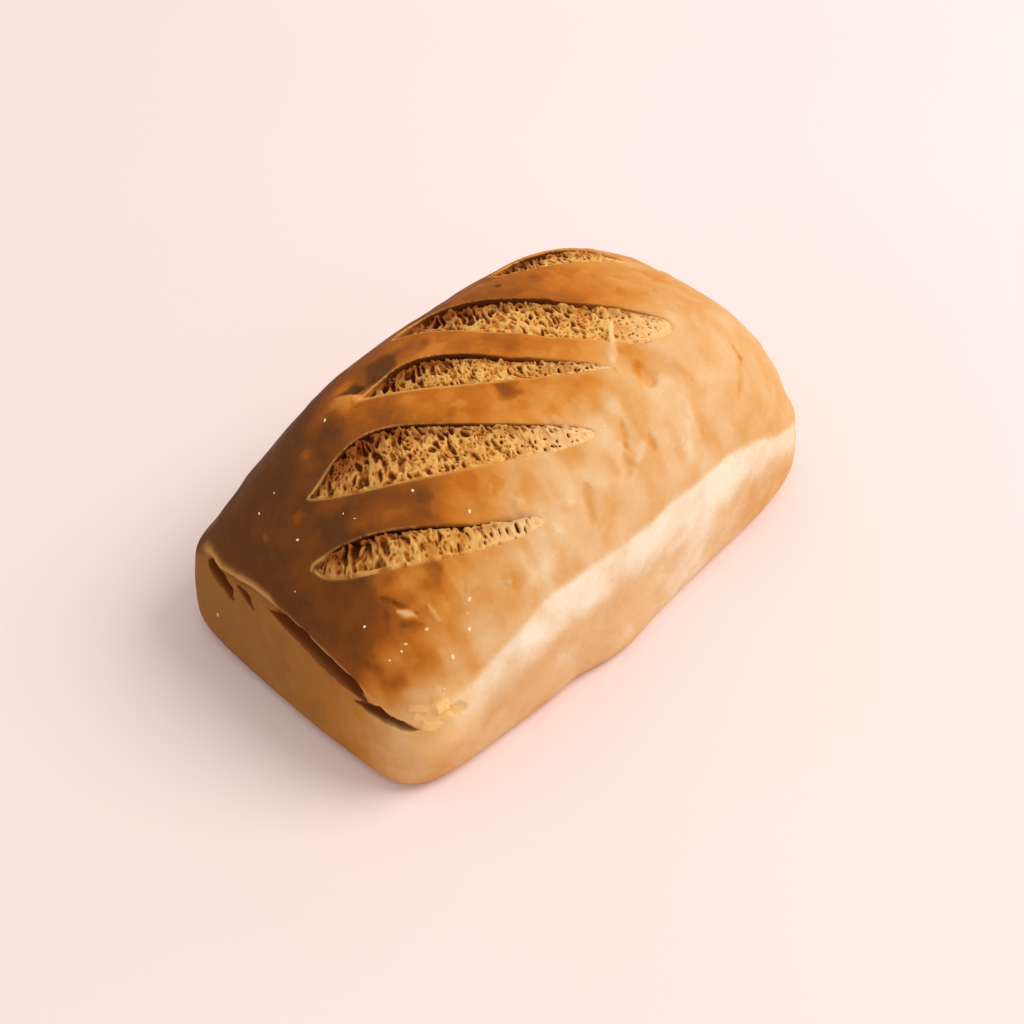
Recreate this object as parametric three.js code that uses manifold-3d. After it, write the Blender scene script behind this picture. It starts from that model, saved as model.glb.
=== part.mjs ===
// White bread loaf baked in a tin.
// Flared crusty walls, a domed top opened by five slanting scores that show the crumb,
// and a torn seam under the crust edge of one end.
// Millimetres, +Z up, +X along the loaf, base centre on the origin.
import * as THREE from "three";
import { ImprovedNoise } from "three/addons/math/ImprovedNoise.js";
import { mergeVertices } from "three/addons/utils/BufferGeometryUtils.js";
import Module from "manifold-3d";

const wasm = await Module();
wasm.setup();
const { lerp, smoothstep } = THREE.MathUtils;

// Overall sizes of the loaf
const HALF_LENGTH = 120.5;
const HALF_WIDTH = 71.1;
const RIM_HEIGHT = 35;
const CROWN_HEIGHT = 101.5;
const CROWN_RISE = 8.4;
const BASE_ROUND = 6.8;

// The four sides: reach from the middle at base and rim, how far the corners of the side
// fall short of its middle at base and rim, and how full the dome is above it
const SIDES = {
  near: { base: HALF_LENGTH, rim: 111.8, baseSag: 3, rimSag: 0, fullness: 2.7 },
  far: { base: 119.5, rim: 116.6, baseSag: -1, rimSag: -1.2, fullness: 2.6 },
  left: { base: HALF_WIDTH, rim: 70.4, baseSag: 1.8, rimSag: 1.8, fullness: 3.25 },
  right: { base: 67.6, rim: 68.2, baseSag: 4.5, rimSag: 4, fullness: 2.3 },
};
const DOME_ROUNDNESS = 1.96;

// How square the plan is at the two ends and at the crown, and how soon it rounds off
const SQUARENESS = { near: 10, far: 6, crown: 2.8, fade: 0.7 };

// Scores: plan of the two tips, greatest spread from the chord to the far and the near side
// with its place along the chord and the power of its taper to the tips, depth of the crumb,
// and height of the raised far lip
const SCORES = [
  {
    from: [-100.6, 0.5],
    to: [-38.4, -51.1],
    far: { spread: -5.5, peak: 0.62, taper: 3.7 },
    near: { spread: 12.6, peak: 0.45, taper: 1.5 },
    depth: 3.8,
    lip: 1,
  },
  {
    from: [-86.6, 16.8],
    to: [-1.3, -42.7],
    far: { spread: 11.4, peak: 0.23, taper: 6 },
    near: { spread: 11.4, peak: 0.5, taper: 1.7 },
    depth: 5.2,
    lip: 1.5,
  },
  {
    from: [-50.1, 28.1],
    to: [21.8, -29.9],
    far: { spread: 10.8, peak: 0.24, taper: 4 },
    near: { spread: 4.7, peak: 0.58, taper: 3.1 },
    depth: 4.6,
    lip: 2,
  },
  {
    from: [-18.4, 45.4],
    to: [58.7, -27.4],
    far: { spread: 9.7, peak: 0.22, taper: 3.5 },
    near: { spread: 14.9, peak: 0.7, taper: 2 },
    depth: 5.2,
    lip: 2,
  },
  {
    from: [32.5, 44],
    to: [80.5, 12.1],
    far: { spread: 11, peak: 0.46, taper: 1.7 },
    near: { spread: 3.2, peak: 0.14, taper: 3 },
    depth: 4.2,
    lip: 1.8,
  },
];
const FLOOR_STEP = 3.4;
const FLOOR_LANES = 7;
const LIP_WIDTH = 9;
const NEAR_SINK = 0.4;
const NEAR_STEP = 0.25;
const FULL_DEPTH_LANE = 0.8;
const ROUGH_LANE = 0.4;
const UNDERCUT_LANE = 0.6;
const LIP_UNDERCUT = 1.6;
const CRUMB_RELIEF = 0.9;
const CRUMB_SCALE = 3.4;
const CUTTER_COVER = 14;
const TIP_COVER = 1;

// Torn seam under the crust edge of the near end: run across the loaf, height at both ends
// of each tear, gape of the mouth, and depth
const TEARS = [
  { from: -59, to: -30, fromHeight: 33.4, toHeight: 29.8, gape: 3.6, depth: 5 },
  { from: -37, to: 16, fromHeight: 33.5, toHeight: 40, gape: 6.6, depth: 8 },
  { from: 24, to: 34, fromHeight: 33, toHeight: 39, gape: 3.6, depth: 3 },
  { from: 35, to: 52, fromHeight: 31, toHeight: 39, gape: 5, depth: 6 },
];
const TEAR_STATIONS = 12;
const TEAR_RISE = 0.7;
const TEAR_COVER = 5;

// Single swellings and hollows of the crust: place, radius, and height
const MARKS = [
  { place: [-53, 35, 89], radius: 7, height: 2 },
  { place: [-45, 37, 91], radius: 6, height: -2.2 },
  { place: [35, -33, 95], radius: 8, height: -1.4 },
  { place: [-98, -58, 39], radius: 7, height: 1.2 },
  { place: [-36, -68, 4], radius: 7, height: -1.2 },
  { place: [-13, -68, 4], radius: 19, height: 3.4 },
  { place: [-111, 64, 27], radius: 17, height: 2 },
  { place: [114, -52, 15], radius: 20, height: 3 },
  { place: [113, -47, 42], radius: 14, height: -1 },
  { place: [-12, 55, 85], radius: 30, height: 1 },
  { place: [-75, 52, 70], radius: 28, height: -1 },
];

// Slow unevenness of the whole crust
const WAVER = 0.8;
const WAVER_SCALE = 42;

// Facets of the skin
const AROUND = 112;
const CORNER_SHARE = 30;
const BASE_COURSES = 3;
const WALL_COURSES = 5;
const DOME_COURSES = 20;
const ARC_SAMPLES = 1440;

const grain = new ImprovedNoise();
const DOWN = new THREE.Vector3(0, 0, -1);
const UP = new THREE.Vector3(0, 0, 1);
const INTO_END = new THREE.Vector3(1, 0, 0);
const CLEAR = 400;

// A closed skin through a stack of loops of equal count, drawn to one point at each end
function loft(loops, first, last) {
  const count = loops[0].length;
  const points = [first, ...loops.flat(), last];
  const top = 1 + (loops.length - 1) * count;
  const faces = [];
  for (let k = 0; k < count; k += 1) {
    const next = (k + 1) % count;
    faces.push(0, 1 + next, 1 + k);
    faces.push(top + k, top + next, points.length - 1);
    for (let low = 1; low < top; low += count) {
      const high = low + count;
      faces.push(low + k, low + next, high + next);
      faces.push(low + k, high + next, high + k);
    }
  }
  const geometry = new THREE.BufferGeometry().setFromPoints(points);
  geometry.setIndex(faces);
  return geometry;
}

// One horizontal course of the skin
function course(z, dome, inset, shrinkOf) {
  const share = Math.min(z / RIM_HEIGHT, 1);
  const result = { z, dome };
  for (const [name, side] of Object.entries(SIDES)) {
    const shrink = shrinkOf(side);
    result[name] = {
      reach: lerp(side.base, side.rim, share) * shrink - inset,
      sag: lerp(side.baseSag, side.rimSag, share) * shrink,
    };
  }
  return result;
}

// All courses from the base edge to just below the crown
function courses() {
  const list = [];
  const quarter = Math.PI / 2;
  for (let k = 0; k < BASE_COURSES; k += 1) {
    const turn = quarter * k / BASE_COURSES;
    const inset = BASE_ROUND * (1 - Math.sin(turn));
    list.push(course(BASE_ROUND * (1 - Math.cos(turn)), 0, inset, () => 1));
  }
  for (let k = 0; k <= WALL_COURSES; k += 1) {
    list.push(course(lerp(BASE_ROUND, RIM_HEIGHT, k / WALL_COURSES), 0, 0, () => 1));
  }
  for (let k = 1; k < DOME_COURSES; k += 1) {
    const turn = quarter * k / DOME_COURSES;
    const dome = Math.sin(turn) ** (2 / DOME_ROUNDNESS);
    const z = lerp(RIM_HEIGHT, CROWN_HEIGHT, dome);
    list.push(course(z, dome, 0, (side) => Math.cos(turn) ** (2 / side.fullness)));
  }
  return list;
}

// Point of a course in one direction from the middle
function pointOn(level, direction) {
  const along = Math.cos(direction);
  const across = Math.sin(direction);
  const end = along < 0 ? level.near : level.far;
  const flank = across < 0 ? level.right : level.left;
  const square = along < 0 ? SQUARENESS.near : SQUARENESS.far;
  const mix = level.dome ** SQUARENESS.fade;
  const power = 1 / ((1 - mix) / square + mix / SQUARENESS.crown);
  const endShare = Math.abs(along / end.reach) ** power;
  const flankShare = Math.abs(across / flank.reach) ** power;
  const radius = (endShare + flankShare) ** (-1 / power);
  const u = radius * along / end.reach;
  const v = radius * across / flank.reach;
  const x = u * (end.reach - end.sag * v * v);
  const y = v * (flank.reach - flank.sag * u * u);
  return new THREE.Vector3(x, y, level.z + CROWN_RISE * level.dome * x / HALF_LENGTH);
}

// Directions that space the points evenly along the rim, closer together at its corners
function evenDirections() {
  const rim = course(RIM_HEIGHT, 0, 0, () => 1);
  const lengths = [0];
  let here = pointOn(rim, 0);
  let heading = new THREE.Vector3(0, 1, 0);
  for (let k = 0; k < ARC_SAMPLES; k += 1) {
    const there = pointOn(rim, 2 * Math.PI * (k + 1) / ARC_SAMPLES);
    const step = there.clone().sub(here);
    lengths.push(lengths[k] + step.length() + CORNER_SHARE * heading.angleTo(step));
    here = there;
    heading = step;
  }
  const directions = [];
  let sample = 0;
  for (let k = 0; k < AROUND; k += 1) {
    const wanted = lengths[ARC_SAMPLES] * k / AROUND;
    while (lengths[sample + 1] <= wanted) {
      sample += 1;
    }
    const part = (wanted - lengths[sample]) / (lengths[sample + 1] - lengths[sample]);
    directions.push(2 * Math.PI * (sample + part) / ARC_SAMPLES);
  }
  return directions;
}

// Smooth skin of the loaf before anything is opened in it
function bareSkin() {
  const directions = evenDirections();
  const loops = courses().map((level) => directions.map((angle) => pointOn(level, angle)));
  const crown = new THREE.Vector3(0, 0, CROWN_HEIGHT);
  const skin = loft(loops, new THREE.Vector3(), crown);
  skin.computeVertexNormals();
  return skin;
}

// Spread of one edge of a score from its chord, zero at both tips
function spreadAt(place, edge) {
  const rise = (place / edge.peak) ** (edge.taper * edge.peak);
  const fall = ((1 - place) / (1 - edge.peak)) ** (edge.taper * (1 - edge.peak));
  return edge.spread * rise * fall;
}

// The chord of a score and its two edges
function layOut(score) {
  const start = new THREE.Vector2(...score.from);
  const along = new THREE.Vector2(...score.to).sub(start);
  const length = along.length();
  along.divideScalar(length);
  const away = new THREE.Vector2(-along.y, along.x);
  const farEdge = (place) => spreadAt(place, score.far);
  const nearEdge = (place) => -spreadAt(place, score.near);
  const hollow = (place) => Math.sqrt(4 * place * (1 - place));
  return { start, along, away, length, farEdge, nearEdge, hollow };
}

// Height of the crust above the bare skin at one point
function crustHeight(point) {
  let height = 0;
  for (const score of SCORES) {
    const plan = layOut(score);
    const offset = new THREE.Vector2(point.x, point.y).sub(plan.start);
    const place = offset.dot(plan.along) / plan.length;
    if (place <= 0 || place >= 1) {
      continue;
    }
    const across = offset.dot(plan.away);
    const pastFar = Math.max(across - plan.farEdge(place), 0);
    const pastNear = Math.max(plan.nearEdge(place) - across, 0);
    const lane = smoothstep(across, plan.nearEdge(place), plan.farEdge(place));
    const lip = score.lip * lane * Math.exp(-((pastFar / LIP_WIDTH) ** 2));
    const sink = NEAR_SINK * (1 - lane) * Math.exp(-((pastNear / LIP_WIDTH) ** 2));
    height += plan.hollow(place) ** 2 * (lip - sink);
  }
  for (const mark of MARKS) {
    const distance = point.distanceTo(new THREE.Vector3(...mark.place));
    height += mark.height * Math.exp(-((distance / mark.radius) ** 2));
  }
  const where = point.clone().divideScalar(WAVER_SCALE);
  return height + WAVER * grain.noise(where.x, where.y, where.z);
}

// The crust with its lips, swellings, and unevenness; the base stays flat
function crustSkin(skin) {
  const crust = skin.clone();
  const place = crust.getAttribute("position");
  const facing = crust.getAttribute("normal");
  const point = new THREE.Vector3();
  const normal = new THREE.Vector3();
  for (let k = 0; k < place.count; k += 1) {
    point.fromBufferAttribute(place, k);
    normal.fromBufferAttribute(facing, k);
    const raised = point.clone().addScaledVector(normal, crustHeight(point));
    place.setXYZ(k, raised.x, raised.y, point.z > 0 ? Math.max(raised.z, 0) : 0);
  }
  return crust;
}

const bare = bareSkin();
const bareMesh = new THREE.Mesh(bare);
const caster = new THREE.Raycaster();

// First point of the bare skin met from outside, with its outward normal
function touch(from, direction) {
  caster.set(from, direction);
  const [hit] = caster.intersectObject(bareMesh);
  return { point: hit.point, normal: hit.normal.normalize() };
}

function touchFromAbove(plan, place, across) {
  const spot = plan.start.clone();
  spot.addScaledVector(plan.along, place * plan.length);
  spot.addScaledVector(plan.away, across);
  return touch(new THREE.Vector3(spot.x, spot.y, CLEAR), DOWN);
}

// Room of one score: a rough crumb floor, shallow at the near edge and deep under the far lip
function scoreRoom(score) {
  const plan = layOut(score);
  const stations = Math.round(plan.length / FLOOR_STEP);
  const away = new THREE.Vector3(plan.away.x, plan.away.y, 0);
  const loops = [];
  for (let k = 1; k < stations; k += 1) {
    const place = k / stations;
    const floor = [];
    const cover = [];
    for (let j = 0; j <= FLOOR_LANES; j += 1) {
      const lane = j / FLOOR_LANES;
      const across = lerp(plan.nearEdge(place), plan.farEdge(place), lane);
      const { point, normal } = touchFromAbove(plan, place, across);
      const grainPlace = point.clone().divideScalar(CRUMB_SCALE);
      const rough = grain.noise(grainPlace.x, grainPlace.y, grainPlace.z);
      const relief = CRUMB_RELIEF * rough * smoothstep(lane, 0, ROUGH_LANE);
      const slope = lerp(NEAR_STEP, 1, smoothstep(lane, 0, FULL_DEPTH_LANE));
      const depth = plan.hollow(place) * (score.depth * slope + relief);
      const undercut = LIP_UNDERCUT * smoothstep(lane, UNDERCUT_LANE, 1);
      const low = point.clone().addScaledVector(normal, -depth);
      low.addScaledVector(away, plan.hollow(place) * undercut);
      floor.push(low);
      cover.unshift(point.clone().addScaledVector(normal, CUTTER_COVER));
    }
    loops.push([...floor, ...cover]);
  }
  const tips = [0, 1].map((place) => {
    const { point, normal } = touchFromAbove(plan, place, 0);
    return point.addScaledVector(normal, TIP_COVER);
  });
  return loft(loops, ...tips);
}

// Room of one tear: a wedge that runs up behind the crust edge
function tearRoom(tear) {
  const loops = [];
  const tips = [];
  for (let k = 0; k <= TEAR_STATIONS; k += 1) {
    const share = k / TEAR_STATIONS;
    const height = lerp(tear.fromHeight, tear.toHeight, share);
    const start = new THREE.Vector3(-CLEAR, lerp(tear.from, tear.to, share), height);
    const { point, normal } = touch(start, INTO_END);
    const open = Math.sqrt(4 * share * (1 - share));
    if (open === 0) {
      tips.push(point.clone().addScaledVector(normal, TIP_COVER));
      continue;
    }
    const gape = tear.gape * open;
    const mouth = point.clone().addScaledVector(normal, TEAR_COVER);
    const root = point.clone().addScaledVector(normal, -tear.depth * open);
    loops.push([
      root.addScaledVector(UP, TEAR_RISE * gape),
      mouth.clone().addScaledVector(UP, -gape),
      mouth.clone().addScaledVector(UP, gape / 2),
    ]);
  }
  return loft(loops, ...tips);
}

function toSolid(geometry) {
  const bareGeometry = geometry.clone();
  bareGeometry.deleteAttribute("normal");
  const merged = mergeVertices(bareGeometry);
  return new wasm.Manifold(new wasm.Mesh({
    numProp: 3,
    vertProperties: new Float32Array(merged.getAttribute("position").array),
    triVerts: new Uint32Array(merged.getIndex().array),
  }));
}

function toGeometry(solid) {
  const mesh = solid.getMesh();
  const geometry = new THREE.BufferGeometry();
  geometry.setAttribute("position", new THREE.BufferAttribute(mesh.vertProperties, 3));
  geometry.setIndex(new THREE.BufferAttribute(mesh.triVerts, 1));
  return geometry;
}

// Bring the middle of the outline over the origin
function centre(geometry) {
  geometry.computeBoundingBox();
  const middle = geometry.boundingBox.getCenter(new THREE.Vector3());
  geometry.translate(-middle.x, -middle.y, 0);
  geometry.computeVertexNormals();
  return geometry;
}

let solid = toSolid(crustSkin(bare));
for (const room of [...SCORES.map(scoreRoom), ...TEARS.map(tearRoom)]) {
  solid = solid.subtract(toSolid(room));
}

const crustMaterial = new THREE.MeshStandardMaterial({ color: 0xc98f52, roughness: 0.6 });
const loaf = new THREE.Mesh(centre(toGeometry(solid)), crustMaterial);
loaf.name = "loaf";

const part = new THREE.Group();
part.name = "white_bread_loaf";
part.add(loaf);
export default part;
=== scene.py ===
import math
from contextlib import contextmanager
from itertools import product

import bpy
import numpy as np
from bpy.props import FloatProperty, FloatVectorProperty, IntProperty, PointerProperty
from mathutils import Matrix, Vector
from mathutils.bvhtree import BVHTree


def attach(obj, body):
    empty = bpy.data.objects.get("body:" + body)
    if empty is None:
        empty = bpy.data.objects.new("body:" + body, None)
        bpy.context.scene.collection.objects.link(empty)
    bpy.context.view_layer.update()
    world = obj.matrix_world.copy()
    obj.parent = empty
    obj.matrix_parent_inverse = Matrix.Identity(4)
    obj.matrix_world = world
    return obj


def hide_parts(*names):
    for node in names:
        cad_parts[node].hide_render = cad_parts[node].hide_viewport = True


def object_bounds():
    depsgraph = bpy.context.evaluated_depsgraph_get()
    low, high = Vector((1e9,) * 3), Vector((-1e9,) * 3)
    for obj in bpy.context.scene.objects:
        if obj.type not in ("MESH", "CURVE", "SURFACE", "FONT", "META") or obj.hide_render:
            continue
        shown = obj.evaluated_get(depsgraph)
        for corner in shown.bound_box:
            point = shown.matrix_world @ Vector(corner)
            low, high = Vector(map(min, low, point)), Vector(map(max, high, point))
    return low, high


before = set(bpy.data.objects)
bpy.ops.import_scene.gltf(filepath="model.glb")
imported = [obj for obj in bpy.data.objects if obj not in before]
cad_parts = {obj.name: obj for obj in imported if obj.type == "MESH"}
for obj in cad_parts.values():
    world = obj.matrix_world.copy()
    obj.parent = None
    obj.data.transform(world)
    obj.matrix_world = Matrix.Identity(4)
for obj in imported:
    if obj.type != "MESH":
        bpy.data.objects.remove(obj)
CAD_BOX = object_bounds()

bl_info = {
    "name": "White Bread Loaf",
    "version": (1, 0, 0),
    "blender": (4, 5, 0),
    "location": "View3D > Sidebar > Loaf",
    "description": "Bakes the crust, crumb and small marks of a white tin loaf",
    "category": "Object",
}

# Lengths are in millimetres up to where a mesh is written, unless MM stands beside them
MM = 0.001
HALF_LENGTH, HALF_WIDTH = CAD_BOX[1].x / MM, CAD_BOX[1].y / MM

# Distance that stands for nothing found yet
FAR_OFF = 99.0

# Whole numbers that scatter the draws of the lattice, and the masks that keep their low bits
LATTICE_FACTORS = (374761393, 668265263, 1440662683, 1013904223)
LATTICE_STIR = 1274126177
LOW_32, LOW_16 = 0xFFFFFFFF, 0xFFFF

# Scores: plan of both tips, then for the far and the near edge the greatest spread from the
# chord, its place along the chord and the power of its taper, and last the height of the lip
# above the crumb and the place along the chord of a strand that bridges the score, or 0
SCORES = (
    ((-100.6, 0.5), (-38.4, -51.1), (-5.5, 0.62, 3.7), (12.6, 0.45, 1.5), 0.9, 0.0),
    ((-86.6, 16.8), (-1.3, -42.7), (11.4, 0.23, 6.0), (11.4, 0.5, 1.7), 1.0, 0.0),
    ((-50.1, 28.1), (21.8, -29.9), (10.8, 0.24, 4.0), (4.7, 0.58, 3.1), 1.8, 0.0),
    ((-18.4, 45.4), (58.7, -27.4), (9.7, 0.22, 3.5), (14.9, 0.7, 2.0), 1.8, 80.6),
    ((32.5, 44.0), (80.5, 12.1), (11.0, 0.46, 1.7), (3.2, 0.14, 3.0), 0.7, 0.0),
)
# Shift from the plan of the scores to the frame, and the lowest level that they reach
PLAN_SHIFT = np.array((-0.53, -0.15))
TOP_LEVEL = 45.0
# Share of a chord at each tip along which the edges stay as they are
TIP_SHARE = 0.002
# How far the crust sinks under the crumb, and the span inside a score from none to full
FLOOR_SINK = 2.2
SINK_SPAN = (0.5, 2.6)

# Tears of the near end: run across the loaf, height at both ends, gape
TEARS = (
    (-59.0, -30.0, 33.4, 29.8, 3.6),
    (-37.0, 16.0, 33.5, 40.0, 6.6),
    (24.0, 34.0, 33.0, 39.0, 3.6),
    (35.0, 52.0, 31.0, 39.0, 5.0),
)
# Sag of a tear below its line and half its mouth, by its gape
TEAR_SAG, TEAR_HALF = 0.15, 0.55
# The near end lies on this side of a place along the loaf
NEAR_END = -95.0

# Edge of the top crust over the near end: place across the loaf and height
SEAM = np.array((
    (-58.0, 34.4), (-50.0, 34.6), (-43.0, 34.0), (-36.0, 35.4), (-28.0, 37.6), (-18.0, 39.4),
    (-8.0, 40.9), (2.0, 41.8), (16.0, 43.0), (26.0, 42.5), (35.0, 41.0), (43.0, 39.5),
    (50.0, 40.2), (57.0, 38.4), (66.0, 27.0),
))
# Steps by which the lap sets in from both ends of the seam
SEAM_STEPS = (("y", -66.0, -52.0), ("y", 62.0, 50.0))

# Marks of the crust: both ends, width, how much darker, and height. Where a mark sinks, its
# darkening is partly painted shade in the dent, crease or pocket
STROKES = (
    ((-56, 36, 88), (-52.5, 30.5, 91), 6.5, -0.32, 1.7),
    ((-49.5, 35, 90.5), (-47.5, 37, 91), 6.5, 0.45, -2.0),
    ((-40, 34, 93), (-31, 36.5, 94), 9.0, 0.45, -0.8),
    ((-72, 24, 84), (-66, 27, 86), 14.0, 0.1, 0.0),
    ((-12, -20, 97), (8, -30, 95), 17.0, 0.08, 0.0),
    ((-104, -46, 50), (-97, -54, 48), 12.0, 0.09, 0.0),
    ((-92.5, 18, 72), (-94, 16.5, 71), 4.5, -0.13, 0.2),
    ((-101.6, 26, 62), (-103, 25, 61), 3.2, -0.15, 0.4),
    ((-75.6, 31.6, 81), (-77, 30, 80.5), 5.0, -0.13, 0.4),
    ((31, -33.5, 95.5), (29.7, -39.5, 91), 6.2, 0.13, -0.9),
    ((26, -27, 98), (40, -36, 93), 15.0, 0.15, -0.3),
    ((30, -20.4, 100), (22.3, -27, 98), 3.2, -0.17, 0.6),
    ((20, -30, 96.5), (22, -35, 94), 7.0, 0.1, 0.0),
    ((-85, -8, 78), (-74, -16, 83), 12.0, -0.2, 0.0),
    ((-69, -19, 85.5), (-65, -21, 86.5), 6.0, 0.14, -0.3),
    ((-94, -26, 69), (-83, -34, 73.5), 11.0, -0.18, 0.0),
    ((-87, 10, 76.5), (-82, 4, 80), 6.0, -0.12, 0.0),
    ((-18, -7, 99.5), (-14, -15, 98.5), 7.5, 0.26, -0.8),
    ((-33.7, -2.3, 97.5), (-32, -4, 97.5), 5.0, -0.12, 0.2),
    ((-43, 13.5, 95.5), (-41, 12, 96), 5.5, -0.1, 0.2),
    ((-1.5, -30, 95), (1, -33, 94), 5.0, -0.08, 0.2),
    ((-26, 35, 96), (-18, 29, 98), 9.0, 0.12, 0.0),
    ((-14, 18, 100), (0, 4, 101), 9.0, 0.09, 0.0),
    ((-12, -27, 95.5), (1, -35, 93), 9.0, 0.08, 0.0),
    ((-47, 42, 88.5), (-63, 38.5, 84.5), 11.0, -0.12, 0.0),
    ((-108.5, -38, 48), (-107.5, -47, 45), 9.0, 0.12, 0.0),
    ((-60, -54, 68), (-77, -55, 61), 13.0, 0.06, 0.0),
    ((-109, -43, 44), (-108, -49, 41), 9.0, 0.14, 0.0),
    ((-102, -60, 38), (-107, -58, 33), 14.0, 0.18, 0.0),
    ((77, -42, 81), (77, -46, 77), 3.0, 0.14, -0.4),
    ((77, -46, 77), (65, -55, 70), 3.2, 0.1, -0.4),
    ((9, -44, 88), (4, -50, 82), 2.6, 0.12, -0.4),
    ((4, -50, 82), (0, -55, 75), 4.4, 0.14, -0.4),
    ((16, -51, 81), (15, -55, 77), 2.6, 0.12, -0.3),
    ((10, -52, 79), (6, -54, 77), 4.5, -0.1, 0.5),
    ((12, -38, 92), (8, -39, 91), 5.0, -0.06, 0.4),
    ((-25, -38, 89), (-26.5, -51, 78.5), 5.5, -0.08, 0.3),
    ((-19, -51, 79), (-23, -58.5, 69), 3.6, 0.12, -0.3),
    ((-44, -41.7, 83.5), (-43, -43.5, 82.5), 3.0, -0.08, 0.25),
    ((-96, -28, 66), (-94.6, -33.5, 66), 1.8, 0.08, -0.5),
    ((-94.6, -33.5, 66), (-92, -40.5, 64.6), 2.0, 0.08, -0.7),
    ((-95.4, -36, 64.8), (-92.8, -41, 63.2), 2.4, -0.36, 0.8),
    ((-99, -32.5, 62), (-98, -34, 62), 3.8, 0.12, -0.3),
    ((-96.7, -39.5, 61.5), (-93, -44, 61.6), 3.8, 0.12, -0.5),
    ((-94, -30, 67), (-88, -40, 67), 9.0, -0.1, 0.0),
    ((-87.5, -42, 66.7), (-87.6, -47.5, 62.7), 1.5, -0.16, 0.5),
    ((-97.5, -62, 37.5), (-94, -63.3, 36.5), 3.8, 0.16, -0.7),
    ((-62, -54.5, 67), (-61, -55, 66.5), 3.0, -0.12, 0.8),
    ((36, 28, 101), (38, 27, 101), 4.0, 0.06, -0.6),
    ((24, 33, 100), (25, 33, 100), 2.2, 0.18, -1.2),
)
# Mark by its width: how far its edge strays, the size and draw of that, half its width at the
# ends and what is added towards its middle, the share fully marked, and least squared length
MARK_STRAY, MARK_GRAIN, MARK_DRAW = 0.28, 0.9, 5
MARK_SLIM, MARK_BELLY, MARK_CORE = 0.55, 1.8, 0.1
MARK_LEAST = 0.01

# Flecks, pale specks that paint the glints of small blisters, and pale crumbs: place, radius, and
# how golden
FLECKS = (
    (-98, 34, 65, 0.5, 0.1), (-98, 12, 67, 0.55, 0.0), (-85, 1, 78, 0.4, 0.5),
    (-67, -15, 87, 0.7, 0.0), (-59, -34, 84, 0.65, 0.1), (-104, -28, 58, 0.6, 0.0),
    (-81, -55, 59, 0.75, 0.0), (-115, 44, 17, 0.8, 0.7), (-63, 35, 86, 0.6, 0.2),
    (-91, 33, 71, 0.4, 0.4), (-92, -46, 61, 0.8, 0.45), (-99, -43, 57, 0.6, 0.5),
    (-101, -43, 55, 0.6, 0.4), (-105, -41, 52, 0.5, 0.5), (-90, -56, 53, 0.85, 0.25),
    (-76, -50, 66, 0.9, 0.4), (-79, -52, 63, 0.5, 0.6), (-97, -58, 44, 0.7, 0.7),
    (-107, 4, 54, 0.4, 0.5), (-84, -4, 78, 0.4, 0.6), (1, -42, 89, 0.6, 0.4),
)

# Torn flakes: middle, heading, length, width and lift of the free edge
FLAKES = (
    ((-104.3, -56.7, 39.4), (0.72, -0.69, 0.05), 10.0, 2.6, 0.5),
    ((-99.6, -60.0, 39.5), (0.7, -0.6, 0.3), 3.8, 3.8, 0.8),
    ((-108.5, -56.1, 36.0), (-0.4, -0.2, -0.9), 4.2, 2.3, 0.5),
    ((-105.6, -60.2, 33.9), (0.8, -0.58, -0.25), 6.4, 3.8, 0.8),
    ((-111.3, -52.5, 30.2), (0.3, -0.95, -0.08), 13.0, 1.6, 0.5),
)
# Reach over which the facing under a flake is taken, height within which a flake lies, step
# between the flakes' draws, span of the edge, and share of the lift at the edge that holds
FLAKE_REACH, FLAKE_HEIGHT, FLAKE_APART = 3.0, 4.0, 7.0
FLAKE_EDGE = (-0.7, 0.6)
FLAKE_HELD = 0.5
# Middle and reach of the finer mesh under the flakes
FLAKE_SITE = ((-104.0, -57.5, 36.5), 12.0)
# Warm blush round the flakes: middle, reach, share of the reach that is full, and strength
BLUSH = ((-101.0, -61.0, 30.0), 21.0, 0.35, 0.45)
# How much of a flake's tone the painted shade inside a tear takes away
FLAKE_TEAR_SHADED = 0.85

# Layers of grain: height, size and what each adds to the seed
FLAKE_ALONG = ((1.1, 2.4, 3), (0.3, 0.8, 5))
FLAKE_ACROSS = ((0.6, 2.0, 4), (0.2, 0.8, 6))
FLAKE_TONE = ((0.25, 1.8, 8),)
BLUSH_STRAY = ((2.0, 6.0, 9),)
BORDER_STRAY = ((2.2, 22.0, 0), (0.8, 7.0, 4))
BROWNING_MOTTLE = ((0.05, 15.0, 1), (0.04, 6.0, 2))
CRUST_SWELLS = ((1.0, 13.0, 0), (0.5, 5.5, 3))
BLISTER_STRAY = (((1.6, 5.0, 30),), ((1.6, 5.0, 31),))
LAP_RIPPLE = ((0.8, 6.0, 40), (0.5, 2.6, 41))
TEAR_FRAY = ((0.6, 2.6, 31), (0.3, 1.1, 32))
STRAND_BEND = ((0.9, 4.5, 0), (0.35, 1.6, 1))
STRAND_TWIST = ((1.2, 5.0, 2), (0.4, 1.8, 3))
CRUMB_ROUGH = ((0.35, 3.2, 9), (0.25, 1.1, 10))
CRUMB_RAGGED = ((0.4, 2.6, 12), (0.25, 1.0, 13))
CRUMB_TUFTS = ((1.5, 2.4, 17), (0.7, 1.1, 18))
PIT_UNEVEN = ((0.4, 1.5, 14),)
TOAST_STRAY = ((0.1, 3.0, 15), (0.06, 1.2, 16))

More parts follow.
